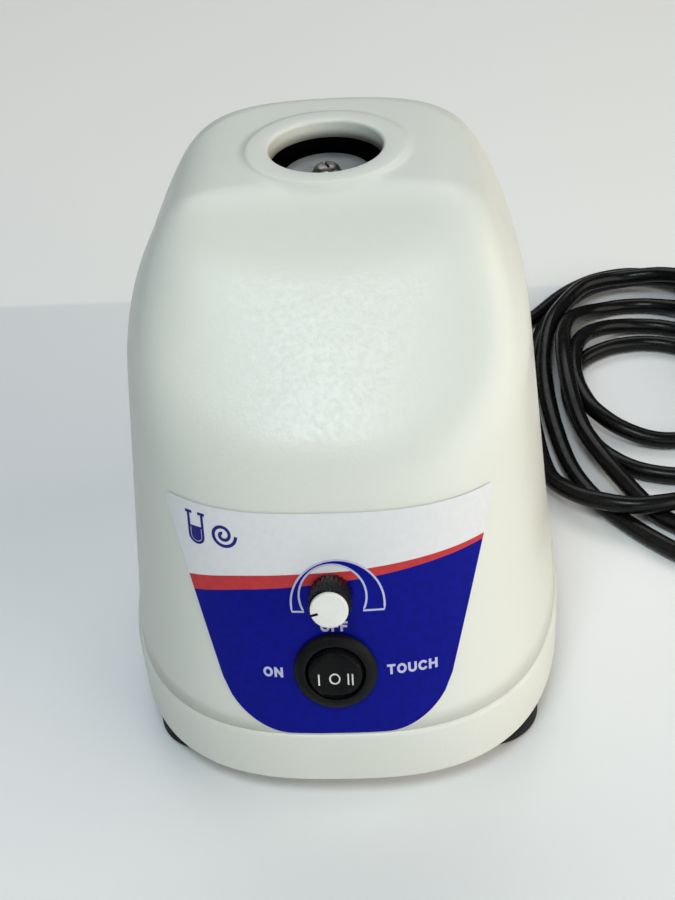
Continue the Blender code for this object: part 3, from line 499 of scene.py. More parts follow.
# The cord's route as it lies, as (x, y, layer): a stretch of a higher layer lies on those of lower ones,
# and within a layer the later stretch lies on the earlier one.
TURN_1 = [(74, 170, 0), (90, 191, 0), (109, 204, 0), (121, 206.5, 0), (136, 201, 0), (150, 187, 0),
          (160, 165, 0), (163.5, 138, 0), (162, 108, 0), (154, 80, 0), (138, 64, 0), (118, 60, 0),
          (102, 64, 0), (93, 76, 0), (87.5, 92, 0), (84.5, 108, 0), (85, 125, 0)]
TURN_2 = [(92, 139, 0), (104, 147, 0), (117, 152, 0), (130, 153, 0), (141, 147, 0), (147, 134, 0),
          (149, 116, 0), (147, 96, 0), (140, 79, 0), (127, 69, 1), (113, 71, 1), (100, 82, 1), (92, 97, 1),
          (87, 115, 1), (88, 133, 1), (92, 150, 1), (99, 161.5, 1), (108, 169, 1), (119, 171.5, 1),
          (131, 167, 1), (141, 154, 1)]
TURN_3 = [(151, 140, 1), (159, 118, 1), (163, 92, 1), (164, 66, 1), (161, 40, 1), (152, 22, 1),
          (138, 14, 1), (124, 19, 1), (113, 31, 1), (105, 44, 1), (98, 56, 1), (91, 70, 1), (86, 86, 2),
          (83.5, 104, 2), (83, 124, 2), (84.5, 144, 2), (89, 161, 2), (97, 174, 2), (108, 181.5, 2),
          (121, 182, 2), (135, 176, 2), (147, 160, 2)]
TURN_4 = [(154, 136, 2), (157, 108, 2), (155, 84, 2), (147, 62, 2), (132, 46, 3), (114, 38, 3),
          (98, 36, 3), (84, 38, 3), (75.5, 46, 3), (72, 60, 3), (70, 76, 2), (69, 92, 2), (68.5, 108, 2),
          (70, 125, 2), (73, 145, 2), (79, 164, 2), (89, 180, 2), (101, 192, 2), (114, 199, 2),
          (128, 198, 2), (142, 189, 2), (154, 172, 2)]
TURN_5 = [(163, 150, 2), (166, 124, 2), (165.5, 96, 2), (165.5, 62, 2), (163, 32, 2), (154, 13, 2),
          (139, 6, 2), (124, 10, 2), (110, 21, 2), (98, 34, 2), (88, 48, 2), (81, 65, 2), (77.5, 86, 2),
          (75.5, 106, 2), (75.5, 128, 2), (78, 146, 2), (82, 161, 2), (89.5, 175, 2), (99.5, 187, 2),
          (109.5, 193.5, 2), (119, 194.5, 2), (132, 190, 3), (145, 181, 3), (157, 171.5, 3)]
TAIL = [(167.5, 161, 3), (174, 152, 3), (179.5, 138, 3), (181.8, 124, 3), (182, 112.6, 3)]
TURNS = TURN_1 + TURN_2 + TURN_3 + TURN_4 + TURN_5
PLUG_BACK_Y = 112.0
PLUG_X = 182.0
PLUG_Z = 10.4
PLUG_LENGTH = 36.0
HUMP = 42.0  # half the length of the hump in which the cord passes over itself
NEIGHBOUR = 26.0  # along the cord, points nearer than this aren't told apart as two strands
STEP = 2.5  # between the points of the cord's line
TIGHTEST = 29.0  # no bend of the cord is tighter than this radius


def gland_y():
    return HALF_DEPTH - LEDGE_STEP - BACK_LEAN * (GLAND_Z - WALL_BASE_Z) + 0.6


def spaced(points, gap):
    """The same line with its points the given distance apart."""
    lengths = [0.0]
    for a, b in zip(points, points[1:]):
        lengths.append(lengths[-1] + (b - a).length)
    count = round(lengths[-1] / gap)
    found = []
    k = 0
    for i in range(count + 1):
        target = lengths[-1] * i / count
        while k < len(points) - 2 and lengths[k + 1] < target:
            k += 1
        share = (target - lengths[k]) / (lengths[k + 1] - lengths[k])
        found.append(points[k].lerp(points[k + 1], share))
    return found


def smooth_route(route, steps):
    """Points along a Catmull-Rom curve, with the given number of steps to each stretch."""
    spots = [Vector(p) for p in route]
    spots = [2 * spots[0] - spots[1], *spots, 2 * spots[-1] - spots[-2]]
    found = []
    for i in range(1, len(spots) - 2):
        a, b, c, d = spots[i - 1:i + 3]
        for k in range(steps):
            t = k / steps
            found.append(0.5 * (2 * b + (c - a) * t + (2 * a - 5 * b + 4 * c - d) * t ** 2
                                + (3 * b - a - 3 * c + d) * t ** 3))
    found.append(spots[-2])
    return found


def evened(values):
    """Each value but the first and last, averaged with its neighbours."""
    return [(a + 2 * b + c) / 4 for a, b, c in zip(values, values[1:], values[2:])]


def relaxed(points, passes, hold=4):
    """The line with its small kinks evened out; its ends keep their direction."""
    for _ in range(passes):
        inner = evened(points)
        inner[:hold] = points[1:hold + 1]
        inner[-hold:] = points[-hold - 1:-1]
        points = [points[0], *inner, points[-1]]
    return points


def opened(points, reach=4, hold=3):
    """The line with each bend that is too tight for this cord eased until it is wide enough."""
    for _ in range(300):
        tight = set()
        for i in range(reach, len(points) - reach):
            before, after = points[i] - points[i - reach], points[i + reach] - points[i]
            if before.angle(after) * TIGHTEST > (before.length + after.length) / 2:
                tight.update(range(i - reach, i + reach + 1))
        moved = {i for i in tight if hold <= i < len(points) - hold}
        if not moved:
            break
        points = [(points[i - 1] + 2 * spot + points[i + 1]) / 4 if i in moved else spot
                  for i, spot in enumerate(points)]
    return points


def cord_line():
    """The cord's centreline in millimetres: down from the wall, round its turns, and to the plug."""
    end_y = gland_y() + GLAND_LENGTH + 0.6
    lead = [(0, end_y, GLAND_Z), (0.1, end_y + 8, 39.4), (2.0, end_y + 20, 31.0), (8.0, end_y + 31, 20.0),
            (18.0, end_y + 39, 9.5), (31.0, end_y + 43, CORD_R), (45.0, end_y + 44, CORD_R),
            (57.0, end_y + 46, CORD_R), (66.5, end_y + 50, CORD_R)]
    low = [(x, y, CORD_R) for x, y, _layer in TURNS + TAIL[:-3]]
    rise = [(x, y, z) for (x, y, _layer), z in zip(TAIL[-3:], (5.4, 8.6, PLUG_Z), strict=True)]
    line = opened(relaxed(spaced(smooth_route(lead + low + rise, 12), STEP), 14))
    return rested(line, layers_along(line))


def layers_along(line):
    """The layer of each point: that of the nearest point of the route, taken in the same order."""
    marks = TURNS + TAIL
    layers = []
    k = 0
    for spot in line:
        while k < len(marks) - 1:
            here = (spot.xy - Vector(marks[k][:2])).length
            following = (spot.xy - Vector(marks[k + 1][:2])).length
            if following > here:
                break
            k += 1
        layers.append(marks[k][2])
    return layers


def rested(line, layers):
    """Lifts the line where it lies on itself, in long low humps, until nothing is inside anything."""
    apart = 2 * CORD_R + 0.1
    near = round(NEIGHBOUR / STEP)
    reach = round(HUMP / STEP)
    pairs = []
    for i, spot in enumerate(line):
        for j, other in enumerate(line):
            under = layers[j] < layers[i] or (layers[j] == layers[i] and j < i)
            away = (spot.xy - other.xy).length
            if under and abs(i - j) > near and away < apart:
                pairs.append((i, j, math.sqrt(apart ** 2 - away ** 2)))
    base = [spot.z for spot in line]
    heights = list(base)
    for _ in range(6):
        needed = list(base)
        for i, j, rise in pairs:
            needed[i] = max(needed[i], heights[j] + rise)
        humps = list(base)
        for i, need in enumerate(needed):
            lift = need - base[i]
            if lift <= 0:
                continue
            for k in range(max(i - reach, 0), min(i + reach + 1, len(line))):
                share = (1 - ((k - i) / (reach + 1)) ** 2) ** 2
                humps[k] = max(humps[k], base[i] + lift * share)
        heights = humps
    for _ in range(6):
        heights = [heights[0], *evened(heights), heights[-1]]
    return [Vector((spot.x, spot.y, max(z, CORD_R))) for spot, z in zip(line, heights, strict=True)]


def make_cord(pvc):
    line = cord_line()
    curve = bpy.data.curves.new("mains_cord", "CURVE")
    curve.dimensions = "3D"
    curve.bevel_depth = CORD_R * MM
    curve.bevel_resolution = 6
    curve.use_fill_caps = True
    spline = curve.splines.new("POLY")
    spline.points.add(len(line) - 1)
    for spline_point, spot in zip(spline.points, line, strict=True):
        spline_point.co = (*(spot * MM), 1.0)
    spline.use_smooth = True
    curve.materials.append(pvc)
    item = bpy.data.objects.new("mains_cord", curve)
    bpy.context.scene.collection.objects.link(item)
    finish(item, "housing", "black_pvc", "power_cord", "cord_coil", "plug_cord")


# ---------------------------------------------------------------- casings

def make_cover(paint, inside_shade):
    """The upper housing: one skin, painted outside, near black inside as painted shade that darkens the
    opening, with holes for what passes through.
    """
    points, faces = stack(housing_rings(26, 9, 12), cap_start=False, cap_end=False)
    cover = solid("cover_shell", points, faces, paint, smooth_angle=60)
    thick = cover.modifiers.new("skin", "SOLIDIFY")
    thick.thickness = SKIN * MM
    thick.offset = -1.0
    thick.use_even_offset = True
    # painted shade: the skin's inner face takes the near-black finish, which darkens the opening
    cover.data.materials.append(inside_shade)
    thick.material_offset = 1
    bore(cover, KNOB_BORE_R, panel_frame(KNOB_Z))
    bore(cover, SWITCH_BORE_R, panel_frame(SWITCH_Z))
    back = Matrix.Translation((0, HALF_DEPTH - 2, GLAND_Z)) @ Matrix.Rotation(-math.pi / 2, 4, "X")
    bore(cover, GLAND_BORE_R, back)
    finish(cover, "housing", "cream_paint", "top_cover")


def make_pan(paint):
    """The lower band: its rounded upper edge, the ledge under the cover, and the bores for its screws."""
    inner = RIM_INSET + RIM_THICK
    upper_edge = [(1.3 + r, z) for r, z in arc((0, LEDGE_Z - 1.3), 1.3, 180, 90, 6)]
    lower_edge = [(0.9 + r, z) for r, z in arc((0, BAND_BOTTOM + 0.9), 0.9, 270, 180, 4)]
    profile = [*lower_edge, *upper_edge, (LEDGE_STEP + 0.4, LEDGE_Z), (RIM_INSET, LEDGE_Z - 1.8),
               (RIM_INSET, RIM_TOP), (inner, RIM_TOP), (inner, FLOOR_Z)]
    pan = solid("pan_shell", *stack([pan_ring(*p) for p in profile]), paint)
    for x, y in FEET + POSTS:
        cut(pan, [(BORE_R, BAND_BOTTOM - 3), (BORE_R, FLOOR_Z + 3)], place=(x, y, 0), sides=24)
    finish(pan, "housing", "cream_paint", "base_pan")


def make_feet(rubber):
    """Rubber feet with fine grooves round their sides and a recess for the screw's head."""
    ribs, low, high = 5, 1.4, 6.6
    side = []
    for i in range(ribs):
        z = low + (high - low) * i / ribs
        pitch = (high - low) / ribs
        side += [(FOOT_R, z), (FOOT_R, z + pitch * 0.55), (FOOT_R - 0.45, z + pitch * 0.68),
                 (FOOT_R - 0.45, z + pitch * 0.88)]
    profile = [(BORE_R + 3.2, 0), (FOOT_R - 1.4, 0), (FOOT_R - 0.5, 0.5), *side, (FOOT_R, high),
               (FOOT_R - 0.5, 7.6), (FOOT_R - 1.6, FOOT_TOP), (BORE_R, FOOT_TOP), (BORE_R, 3.9),
               (BORE_R + 3.2, 3.9)]
    for i, (x, y) in enumerate(FEET, 1):
        foot = turned(f"ribbed_foot_{i}", profile, rubber, place=(x, y, 0), sides=96, closed=True)
        finish(foot, "housing", "black_rubber", f"foot_{i}")


# ---------------------------------------------------------------- label

SWOOSH = [(-46, 71.2, 66.4), (-41, 72.4, 67.9), (-26, 75.7, 71.6), (-12, 77.0, 73.3), (5, 77.9, 75.2),
          (13.5, 78.8, 76.3), (27, 80.2, 78.3), (42, 81.4, 80.0), (47, 81.7, 80.5)]  # x, top z, bottom z


def swoosh(x, side):
    """The red band's top (side 0) or bottom (side 1) edge at this x."""
    spots = [Vector((p[0], p[1 + side])) for p in SWOOSH]
    k = 1
    while k < len(spots) - 3 and spots[k + 1].x < x:
        k += 1
    a, b, c, d = spots[k - 1:k + 3]
    t = (x - b.x) / (c.x - b.x)
    first = (c.y - a.y) / (c.x - a.x) * (c.x - b.x)
    second = (d.y - b.y) / (d.x - b.x) * (c.x - b.x)
    return ((2 * t ** 3 - 3 * t ** 2 + 1) * b.y + (t ** 3 - 2 * t ** 2 + t) * first
            + (3 * t ** 2 - 2 * t ** 3) * c.y + (t ** 3 - t ** 2) * second)


def label_half(z):
    return LABEL_TOP_HALF - 0.252 * (LABEL_TOP_Z - z)


def label_grid(top_of, bottom_of, columns, rows):
    """Spots of a field of the label between two curves, side to side between the label's edges."""
    grid = []
    for j in range(columns + 1):
        share = 2 * j / columns - 1
        ends = []
        for edge in (bottom_of, top_of):
            z = 60.0
            for _ in range(30):
                z = edge(share * label_half(z), label_half(z))
            ends.append(z)
        low, high = ends
        grid.append([(share * label_half(low + (high - low) * i / rows), low + (high - low) * i / rows)
                     for i in range(rows + 1)])
    return grid


def label_bottom(x, half):
    """The label's lower edge: straight, with round corners."""
    inside = abs(x) - (half - LABEL_CORNER)
    if inside <= 0:
        return LABEL_BOTTOM_Z
    return LABEL_BOTTOM_Z + LABEL_CORNER - math.sqrt(max(LABEL_CORNER ** 2 - inside ** 2, 0.0))


def label_top(x, half):
    """The label's upper edge: straight, with small round corners."""
    inside = abs(x) - (half - 1.6)
    if inside <= 0:
        return LABEL_TOP_Z
    return LABEL_TOP_Z - 1.6 + math.sqrt(max(1.6 ** 2 - inside ** 2, 0.0))


def draped(name, grid, low, high, material):
    """A thin sheet over a grid of (x, z) spots on the front wall, from one lift to another."""
    wide, tall = len(grid), len(grid[0])
    flat = [spot for column in grid for spot in column]
    points = [lifted(x, z, lift) for lift in (low, high) for x, z in flat]
    size = len(flat)
    faces = []
    for i in range(wide - 1):
        for j in range(tall - 1):
            quad = (i * tall + j, i * tall + j + 1, (i + 1) * tall + j + 1, (i + 1) * tall + j)
            faces.append(quad)
            faces.append(tuple(k + size for k in quad[::-1]))
    edge = ([i * tall for i in range(wide)] + [(wide - 1) * tall + j for j in range(1, tall)]
            + [i * tall + tall - 1 for i in range(wide - 2, -1, -1)] + [j for j in range(tall - 2, 0, -1)])
    for a, b in zip(edge, edge[1:] + edge[:1], strict=True):
        faces.append((a, b, b + size, a + size))
    return solid(name, points, faces, material)


def stroke(name, line, width, low, high, material, place=lifted, closed=False):
    """A printed line of even width along (x, z) spots."""
    spots = [Vector(p) for p in line]
    count = len(spots)
    rings = []
    for i, spot in enumerate(spots):
        before = spots[i - 1] if closed or i else spot
        after = spots[(i + 1) % count] if closed or i < count - 1 else spot
        along = (after - before).normalized()
        side = Vector((-along.y, along.x)) * width / 2
        left, right = spot + side, spot - side
        rings.append([place(*left, low), place(*right, low), place(*right, high), place(*left, high)])
    return solid(name, *stack(rings, closed=closed), material)


LEGEND_HEIGHT = 3.0
LEGEND_STROKE = 0.68
LETTERS = {  # each letter's width over its height, and its strokes in a box of that width and height 1
    "O": (0.86, [[(0.43 + 0.43 * math.cos(TURN * i / 32), 0.5 + 0.5 * math.sin(TURN * i / 32))
                  for i in range(33)]]),
    "N": (0.76, [[(0, 0), (0, 1)], [(0.03, 0.98), (0.73, 0.02)], [(0.76, 0), (0.76, 1)]]),
    "F": (0.60, [[(0, 0), (0, 1)], [(0, 1), (0.60, 1)], [(0, 0.52), (0.52, 0.52)]]),
    "T": (0.70, [[(0.35, 0), (0.35, 1)], [(0, 1), (0.70, 1)]]),
    "U": (0.74, [[(0, 1), *[(0.37 + 0.37 * math.cos(math.pi + math.pi * i / 14),
                             0.36 + 0.36 * math.sin(math.pi + math.pi * i / 14)) for i in range(15)],
                  (0.74, 1)]]),
    "C": (0.80, [[(0.43 + 0.43 * math.cos(math.radians(48 + 264 * i / 24)),
                   0.5 + 0.5 * math.sin(math.radians(48 + 264 * i / 24))) for i in range(25)]]),
    "H": (0.74, [[(0, 0), (0, 1)], [(0.74, 0), (0.74, 1)], [(0, 0.52), (0.74, 0.52)]]),
}


def words(name, text, center_x, bottom_z, lift, material):
    """A short legend in plain stroked capitals, wrapped onto the wall."""
    tall = LEGEND_HEIGHT - LEGEND_STROKE
    gap = LEGEND_STROKE + 0.4
    widths = [LETTERS[letter][0] * tall for letter in text]
    x = center_x - (sum(widths) + gap * (len(text) - 1)) / 2
    z = bottom_z + LEGEND_STROKE / 2
    parts = []
    for letter, width in zip(text, widths, strict=True):
        for i, line in enumerate(LETTERS[letter][1]):
            spots = [(x + px * tall, z + pz * tall) for px, pz in line]
            high = lift + INK * (1 + 0.2 * i)
            parts.append(stroke(f"{name}_{letter}_{i}", extended(spots), LEGEND_STROKE, lift - INK, high,
                                material))
        x += width + gap
    return joined(name, parts)


def extended(spots):
    """A stroke whose ends reach half its width further, so that corners come out square."""
    first, second, last = Vector(spots[0]), Vector(spots[1]), Vector(spots[-1])
    if (first - last).length < 0.01:
        return spots
    start = first + (first - second).normalized() * LEGEND_STROKE / 2
    end = last + (last - Vector(spots[-2])).normalized() * LEGEND_STROKE / 2
    return [start, *spots[1:-1], end]


def make_label(look):
    """The film on the leaning wall, its printed fields, the speed symbol and the plain legends."""
    face = FILM_LIFT
    film = draped("label_film", label_grid(label_top, label_bottom, 72, 28), 0.3, face, look["film_white"])
    blue = draped("label_blue", label_grid(lambda x, _half: swoosh(x, 1), label_bottom, 72, 20),
                  face - INK, face + INK, look["film_blue"])
    band = label_grid(lambda x, _half: swoosh(x, 0), lambda x, _half: swoosh(x, 1), 72, 3)
    red = draped("label_red", band, face - INK, face + INK, look["film_red"])
    for item in (film, blue, red):
        bore(item, KNOB_BORE_R, panel_frame(KNOB_Z))
    for item in (film, blue):
        bore(item, SWITCH_BORE_R, panel_frame(SWITCH_Z))
    finish(film, "housing", "printed_film", "front_label")
    marks = [blue, red, *make_speed_symbol(look, face), *make_pictogram(look, face)]
    for name, text, x, z in (("legend_on", "ON", -17.6, 46.3), ("legend_touch", "TOUCH", 21.2, 46.6),
                             ("legend_off", "OFF", 0.2, 60.3)):
        marks.append(words(name, text, x, z, face + 2 * INK, look["ink_pale"]))
    for mark in marks:
        finish(mark, "housing", "printed_film")


def make_speed_symbol(look, face):
    """A band round the knob that widens clockwise, cut flat below."""
    outer_center, outer_r = (1.55, 68.4), 12.8
    inner_center, inner_r = (0.3, 70.7), 9.25
    cut_z = 66.3
    outer_dip = math.degrees(math.asin((cut_z - outer_center[1]) / outer_r))
    inner_dip = math.degrees(math.asin((cut_z - inner_center[1]) / inner_r))
    steps = 48
    outer = arc(outer_center, outer_r, 180 - outer_dip, outer_dip, steps)
    inner = arc(inner_center, inner_r, 180 - inner_dip, inner_dip, steps)
    grid = [[a, b] for a, b in zip(outer, inner, strict=True)]
    fill = draped("dial_band", grid, face - INK, face + 2 * INK, look["film_blue"])
    outline = outer + inner[::-1]
    edge = stroke("dial_outline", outline, 0.55, face, face + 3 * INK, look["ink_pale"], closed=True)
    return [fill, edge]


def make_pictogram(look, face):
    """A plain test tube with a swirl beside it, in place of words."""
    ink = look["dark_ink"]
    low, high = face, face + 2 * INK
    x, z, r = -36.2, 84.9, 1.9
    tube = [(x - r, z + 6.4), *arc((x, z), r, 180, 360, 14), (x + r, z + 6.4)]
    swirl = []
    for i in range(40):
        t = i / 39
        turn = math.radians(100 + 620 * t)
        reach = 0.5 + 3.1 * t
        swirl.append((-28.6 + reach * math.cos(turn), 87.0 + reach * math.sin(turn)))
    level = [(x - r + 0.3, z + 2.6), (x + r - 0.3, z + 2.6)]
    liquid = [[(px, pz), (px, z + 2.6)] for px, pz in arc((x, z), r - 0.5, 180, 360, 12)]
    rim = [(x - r - 0.8, z + 6.6), (x + r + 0.8, z + 6.6)]
    return [stroke("picture_tube", tube, 0.7, low, high, ink),
            stroke("picture_rim", rim, 0.8, low, high + INK, ink),
            stroke("picture_level", level, 0.5, low, high, ink),
            draped("picture_liquid", liquid, low - INK, high - INK, ink),
            stroke("picture_swirl", swirl, 0.9, low, high, ink)]


# ---------------------------------------------------------------- knob and switch

def panel_frame(z):
    """The place of a control: on the middle of the front wall, its own Z out of the wall."""
    return Matrix.Translation((0, panel_y(z), z)) @ Matrix.Rotation(math.pi / 2 - PANEL_TILT, 4, "X")


def ribbed_ring(outer, depth, z, ribs, per_rib=8):
    """A ring whose rim rises into a rounded rib and falls into a groove."""
    ring = []
    for i in range(ribs * per_rib):
        turn = TURN * i / (ribs * per_rib)
        wave = 0.5 + 0.5 * math.cos(ribs * turn)
        reach = outer - depth * (1 - wave ** 0.6)
        ring.append((reach * math.cos(turn), reach * math.sin(turn), z))
    return ring


def make_knob(look):
    """A ribbed skirt with a white cap let into its end; the pointer shows where the speed stands."""
    frame = panel_frame(KNOB_Z)
    ribs = 26
    sides = ribs * 8
    rings = [circle(2.8, 7.8, sides), circle(2.8, 3.3, sides), circle(5.0, 3.3, sides),
             circle(5.0, 1.2, sides), ribbed_ring(KNOB_R - 0.15, 0.3, 1.2, ribs),
             ribbed_ring(KNOB_R, 0.3, 1.5, ribs), ribbed_ring(KNOB_R - 0.05, 0.3, KNOB_TOP - 0.9, ribs),
             ribbed_ring(KNOB_R - 0.25, 0.2, KNOB_TOP - 0.3, ribs), circle(KNOB_R - 0.65, KNOB_TOP, sides)]
    skirt = solid("knob_skirt", *stack(rings), look["black_plastic"], frame)
    finish(skirt, "speed_control", "black_plastic", "speed_knob")
    top = KNOB_TOP + 1.4
    edge = arc((CAP_R - 0.4, top - 0.4), 0.4, 0, 90, 6)
    cap = turned("knob_face", [(CAP_R - 0.1, KNOB_TOP + 0.05), (CAP_R, KNOB_TOP + 0.3), *edge,
                               (CAP_R * 0.5, top)], look["white_plastic"], matrix=frame, sides=96)
    finish(cap, "speed_control", "white_plastic", "knob_cap")
    turn = Matrix.Rotation(math.radians(195), 4, "Z")
    outline = [(3.1, -0.38), (CAP_R - 0.1, -0.38), (CAP_R - 0.1, 0.38), (3.1, 0.38)]
    rings = [[(x, y, z) for x, y in outline] for z in (top - 0.2, top + 0.03)]
    pointer = solid("knob_pointer", *stack(rings), look["black_plastic"], frame @ turn)
    finish(pointer, "speed_control", "black_plastic")


def make_switch(look):
    """The round switch: a broad frame that slopes outwards, and a three-place rocker with dished wings."""
    frame = panel_frame(SWITCH_Z)
    face = 1.0
    slope = [(SWITCH_R - 0.15, face), (SWITCH_R, face + 0.2), (SWITCH_R - 0.02, face + 0.55),
             (SWITCH_R - 0.25, face + 1.0), (SWITCH_R - 0.75, face + 1.45), (SWITCH_R - 1.4, face + 1.8),
             (SWITCH_R - 2.1, face + 2.02), (POCKET_R + 0.6, face + 2.1), (POCKET_R + 0.25, face + 2.05),
             (POCKET_R + 0.05, face + 1.9), (POCKET_R, face + 1.6)]
    profile = [(SWITCH_BODY_R - 0.8, -SWITCH_DEPTH), (SWITCH_BODY_R, -SWITCH_DEPTH + 0.8),
               (SWITCH_BODY_R, face), *slope, (POCKET_R, -6.0)]
    bezel = turned("switch_bezel", profile, look["bezel_plastic"], matrix=frame, sides=96)
    finish(bezel, "housing", "black_plastic", "switch_frame")

    sides = 96
    rings = [circle(ROCKER_R * math.cos(math.radians(a)), ROCKER_R * math.sin(math.radians(a)), sides)
             for a in (4, 10, 16, 22, 27)]
    for radius in (7.0, 6.8, 6.4, 5.0, 3.5, 2.0, 0.8):
        rings.append([(x, y, rocker_top(x) - 0.25 * max(radius - 6.4, 0) / 0.6)
                      for x, y, _z in circle(radius, 0, sides)])
    paddle = solid("rocker_paddle", *stack(rings), look["black_plastic"], frame, smooth_angle=50)
    finish(paddle, "power_rocker", "black_plastic", "switch_rocker")

    def on_rocker(x, y, lift):
        return frame @ Vector((x, y, rocker_top(x) + lift))

    middle, half = -1.3, 1.75
    for i, x in enumerate((-4.6, 3.55, 4.75), 1):
        bar = [(x, middle - half), (x, middle + half)]
        mark = stroke(f"rocker_bar_{i}", bar, 0.42, -0.05, 0.03, look["mark_white"], on_rocker)
        finish(mark, "power_rocker", "black_plastic")
    turns = [TURN * i / 40 for i in range(40)]
    oval = [(-0.2 + 1.35 * math.cos(turn), middle + 1.5 * math.sin(turn)) for turn in turns]
    ring = stroke("rocker_ring", oval, 0.42, -0.05, 0.03, look["mark_white"], on_rocker, closed=True)
    finish(ring, "power_rocker", "black_plastic")


def rocker_top(x):
    """The paddle's face is lowest across its middle and rises a little to each wing."""
    return 3.35 + 0.75 * (math.sqrt(x * x + 4.0) - 2.0) / 5.3


# ---------------------------------------------------------------- head

def make_carrier(look):
    """The dark disc in the opening, with the screw that holds a cup or platform."""
    at = (0, HEAD_Y - THROW, 0)
    sink = CARRIER_TOP - 0.6
    edge = arc((CARRIER_R - 0.7, CARRIER_TOP - 0.7), 0.7, 90, 0, 6)
    profile = [(2.3, CARRIER_TOP - 14.0), (2.3, sink), (4.4, sink), (4.5, CARRIER_TOP), *edge,
               (CARRIER_R, CARRIER_TOP - 4.0), (9.0, CARRIER_TOP - 6.5), (9.0, 126.5),
               (9.4, 125.2), (11.0, 124.0), (23.4, 124.0), (24.0, 123.4), (24.0, 120.0), (12.9, 120.0),
               (12.9, 110.5), (10.7, 110.5), (10.7, 120.0)]
    disc = turned("carrier_disc", profile, look["dark_anodised"], place=at, sides=96)
    cut(disc, [(2.3, 117.0), (2.3, 122.2)], place=(0, HEAD_Y - THROW - 19.5, 0), sides=32)
    finish(disc, "head_carrier", "dark_anodised", "cup_carrier")

    dome = [(4.0, CARRIER_TOP + 0.8), (3.9, CARRIER_TOP + 1.25), (3.55, CARRIER_TOP + 1.75),
            (3.0, CARRIER_TOP + 2.15), (2.2, CARRIER_TOP + 2.45), (1.3, CARRIER_TOP + 2.62),
            (0.5, CARRIER_TOP + 2.67)]
    screw = turned("carrier_screw_head", [(2.0, CARRIER_TOP - 12.0), (2.0, sink + 0.3), (3.8, sink + 0.3),
                                          (4.0, sink + 0.5), *dome], look["dull_steel"], place=at, sides=64)
    for tool in [cross_slot(name, turn) for name, turn in (("slot_a", 20), ("slot_b", 110))]:
        take(screw, tool)
    finish(screw, "head_carrier", "bright_steel", "carrier_screw")


def cross_slot(name, degrees):
    """One arm of the driver recess in the screw's head."""
    rings = [[(-2.1, -0.36, z), (2.1, -0.36, z), (2.1, 0.36, z), (-2.1, 0.36, z)]
             for z in (CARRIER_TOP + 1.2, CARRIER_TOP + 4.0)]
    turn = Matrix.Rotation(math.radians(degrees), 4, "Z")
    return solid(name, *stack(rings), bpy.data.materials["bright_steel"],
                 Matrix.Translation((0, HEAD_Y - THROW, 0)) @ turn)


# ---------------------------------------------------------------- cord ends

def make_gland(rubber):
    """The moulded sleeve round the cord: a flange, then rings that get thinner towards the free end."""
    profile = [(5.9, -6.0), (6.0, -5.6), (6.0, 0.4), (8.0, 0.4), (8.2, 0.6), (8.2, 2.0), (7.8, 2.4)]
    rings = 9
    first, last = 4.0, GLAND_LENGTH - 1.2
    for i in range(rings):
        low = first + (last - first) * i / rings
        high = low + (last - first) / rings
        outer = 5.8 - 1.45 * i / rings
        inner = 4.75 - 0.75 * i / rings
        profile += [(inner, low - 0.1), (outer, low + 0.25), (outer - 0.1, high - 0.95),
                    (inner, high - 0.6)]
    profile += [(4.25, GLAND_LENGTH - 1.0), (4.2, GLAND_LENGTH - 0.2), (4.0, GLAND_LENGTH)]
    frame = Matrix.Translation((0, gland_y(), GLAND_Z)) @ Matrix.Rotation(-math.pi / 2, 4, "X")
    sleeve = turned("gland_sleeve", profile, rubber, matrix=frame, sides=48)
    finish(sleeve, "housing", "black_rubber", "strain_relief")


def make_plug(look):
    """The moulded two-blade plug, lying flat, with a grip and rings where its cord goes in."""
    frame = Matrix.Translation((PLUG_X, PLUG_BACK_Y, PLUG_Z)) @ Matrix.Rotation(-math.pi / 2, 4, "Z")
    sections = [(0.0, 4.1, 4.1, 2.0), (0.3, 4.4, 4.4, 2.0)]
    for i in range(4):
        x = 0.8 + 2.4 * i
        size = 4.5 + 0.35 * i
        waist = size - 0.6
        sections += [(x, size, size, 2.0), (x + 1.5, size, size, 2.0), (x + 1.8, waist, waist, 2.0),
                     (x + 2.2, waist, waist, 2.0)]
    sections += [(11.2, 7.4, 6.6, 2.4), (13.0, 9.4, 7.8, 2.8), (15.5, 11.2, 9.0, 3.2),
                 (18.0, 12.1, 9.6, 3.4), (21.0, 11.7, 9.5, 3.4), (25.0, 11.3, 9.6, 3.4),
                 (29.0, 11.8, 9.9, 3.4), (32.0, 12.5, 10.1, 3.4),
                 (PLUG_LENGTH - 0.8, 12.6, 10.2, 3.4), (PLUG_LENGTH - 0.2, 12.3, 9.9, 3.4),
                 (PLUG_LENGTH, 11.8, 9.4, 3.4)]
    rings = []
    for x, half_y, half_z, power in sections:
        ring = []
        for i in range(64):
            c, s = math.cos(TURN * i / 64), math.sin(TURN * i / 64)
            reach = (abs(c) ** power + abs(s) ** power) ** (-1 / power)
            ring.append((x, half_y * reach * c, half_z * reach * s))
        rings.append(ring)
    shell = solid("plug_shell", *stack(rings), look["black_pvc"], frame, smooth_angle=40)
    finish(shell, "housing", "black_plastic", "plug_body")


# ---------------------------------------------------------------- stage

FAR_EDGE = (0.2015, 0.2045)  # in metres behind the middle, where the table's tone changes
FAR_PAINTED_LIGHT = 0.13  # the strength of the faint glow past that edge, painted light that brightens the far table
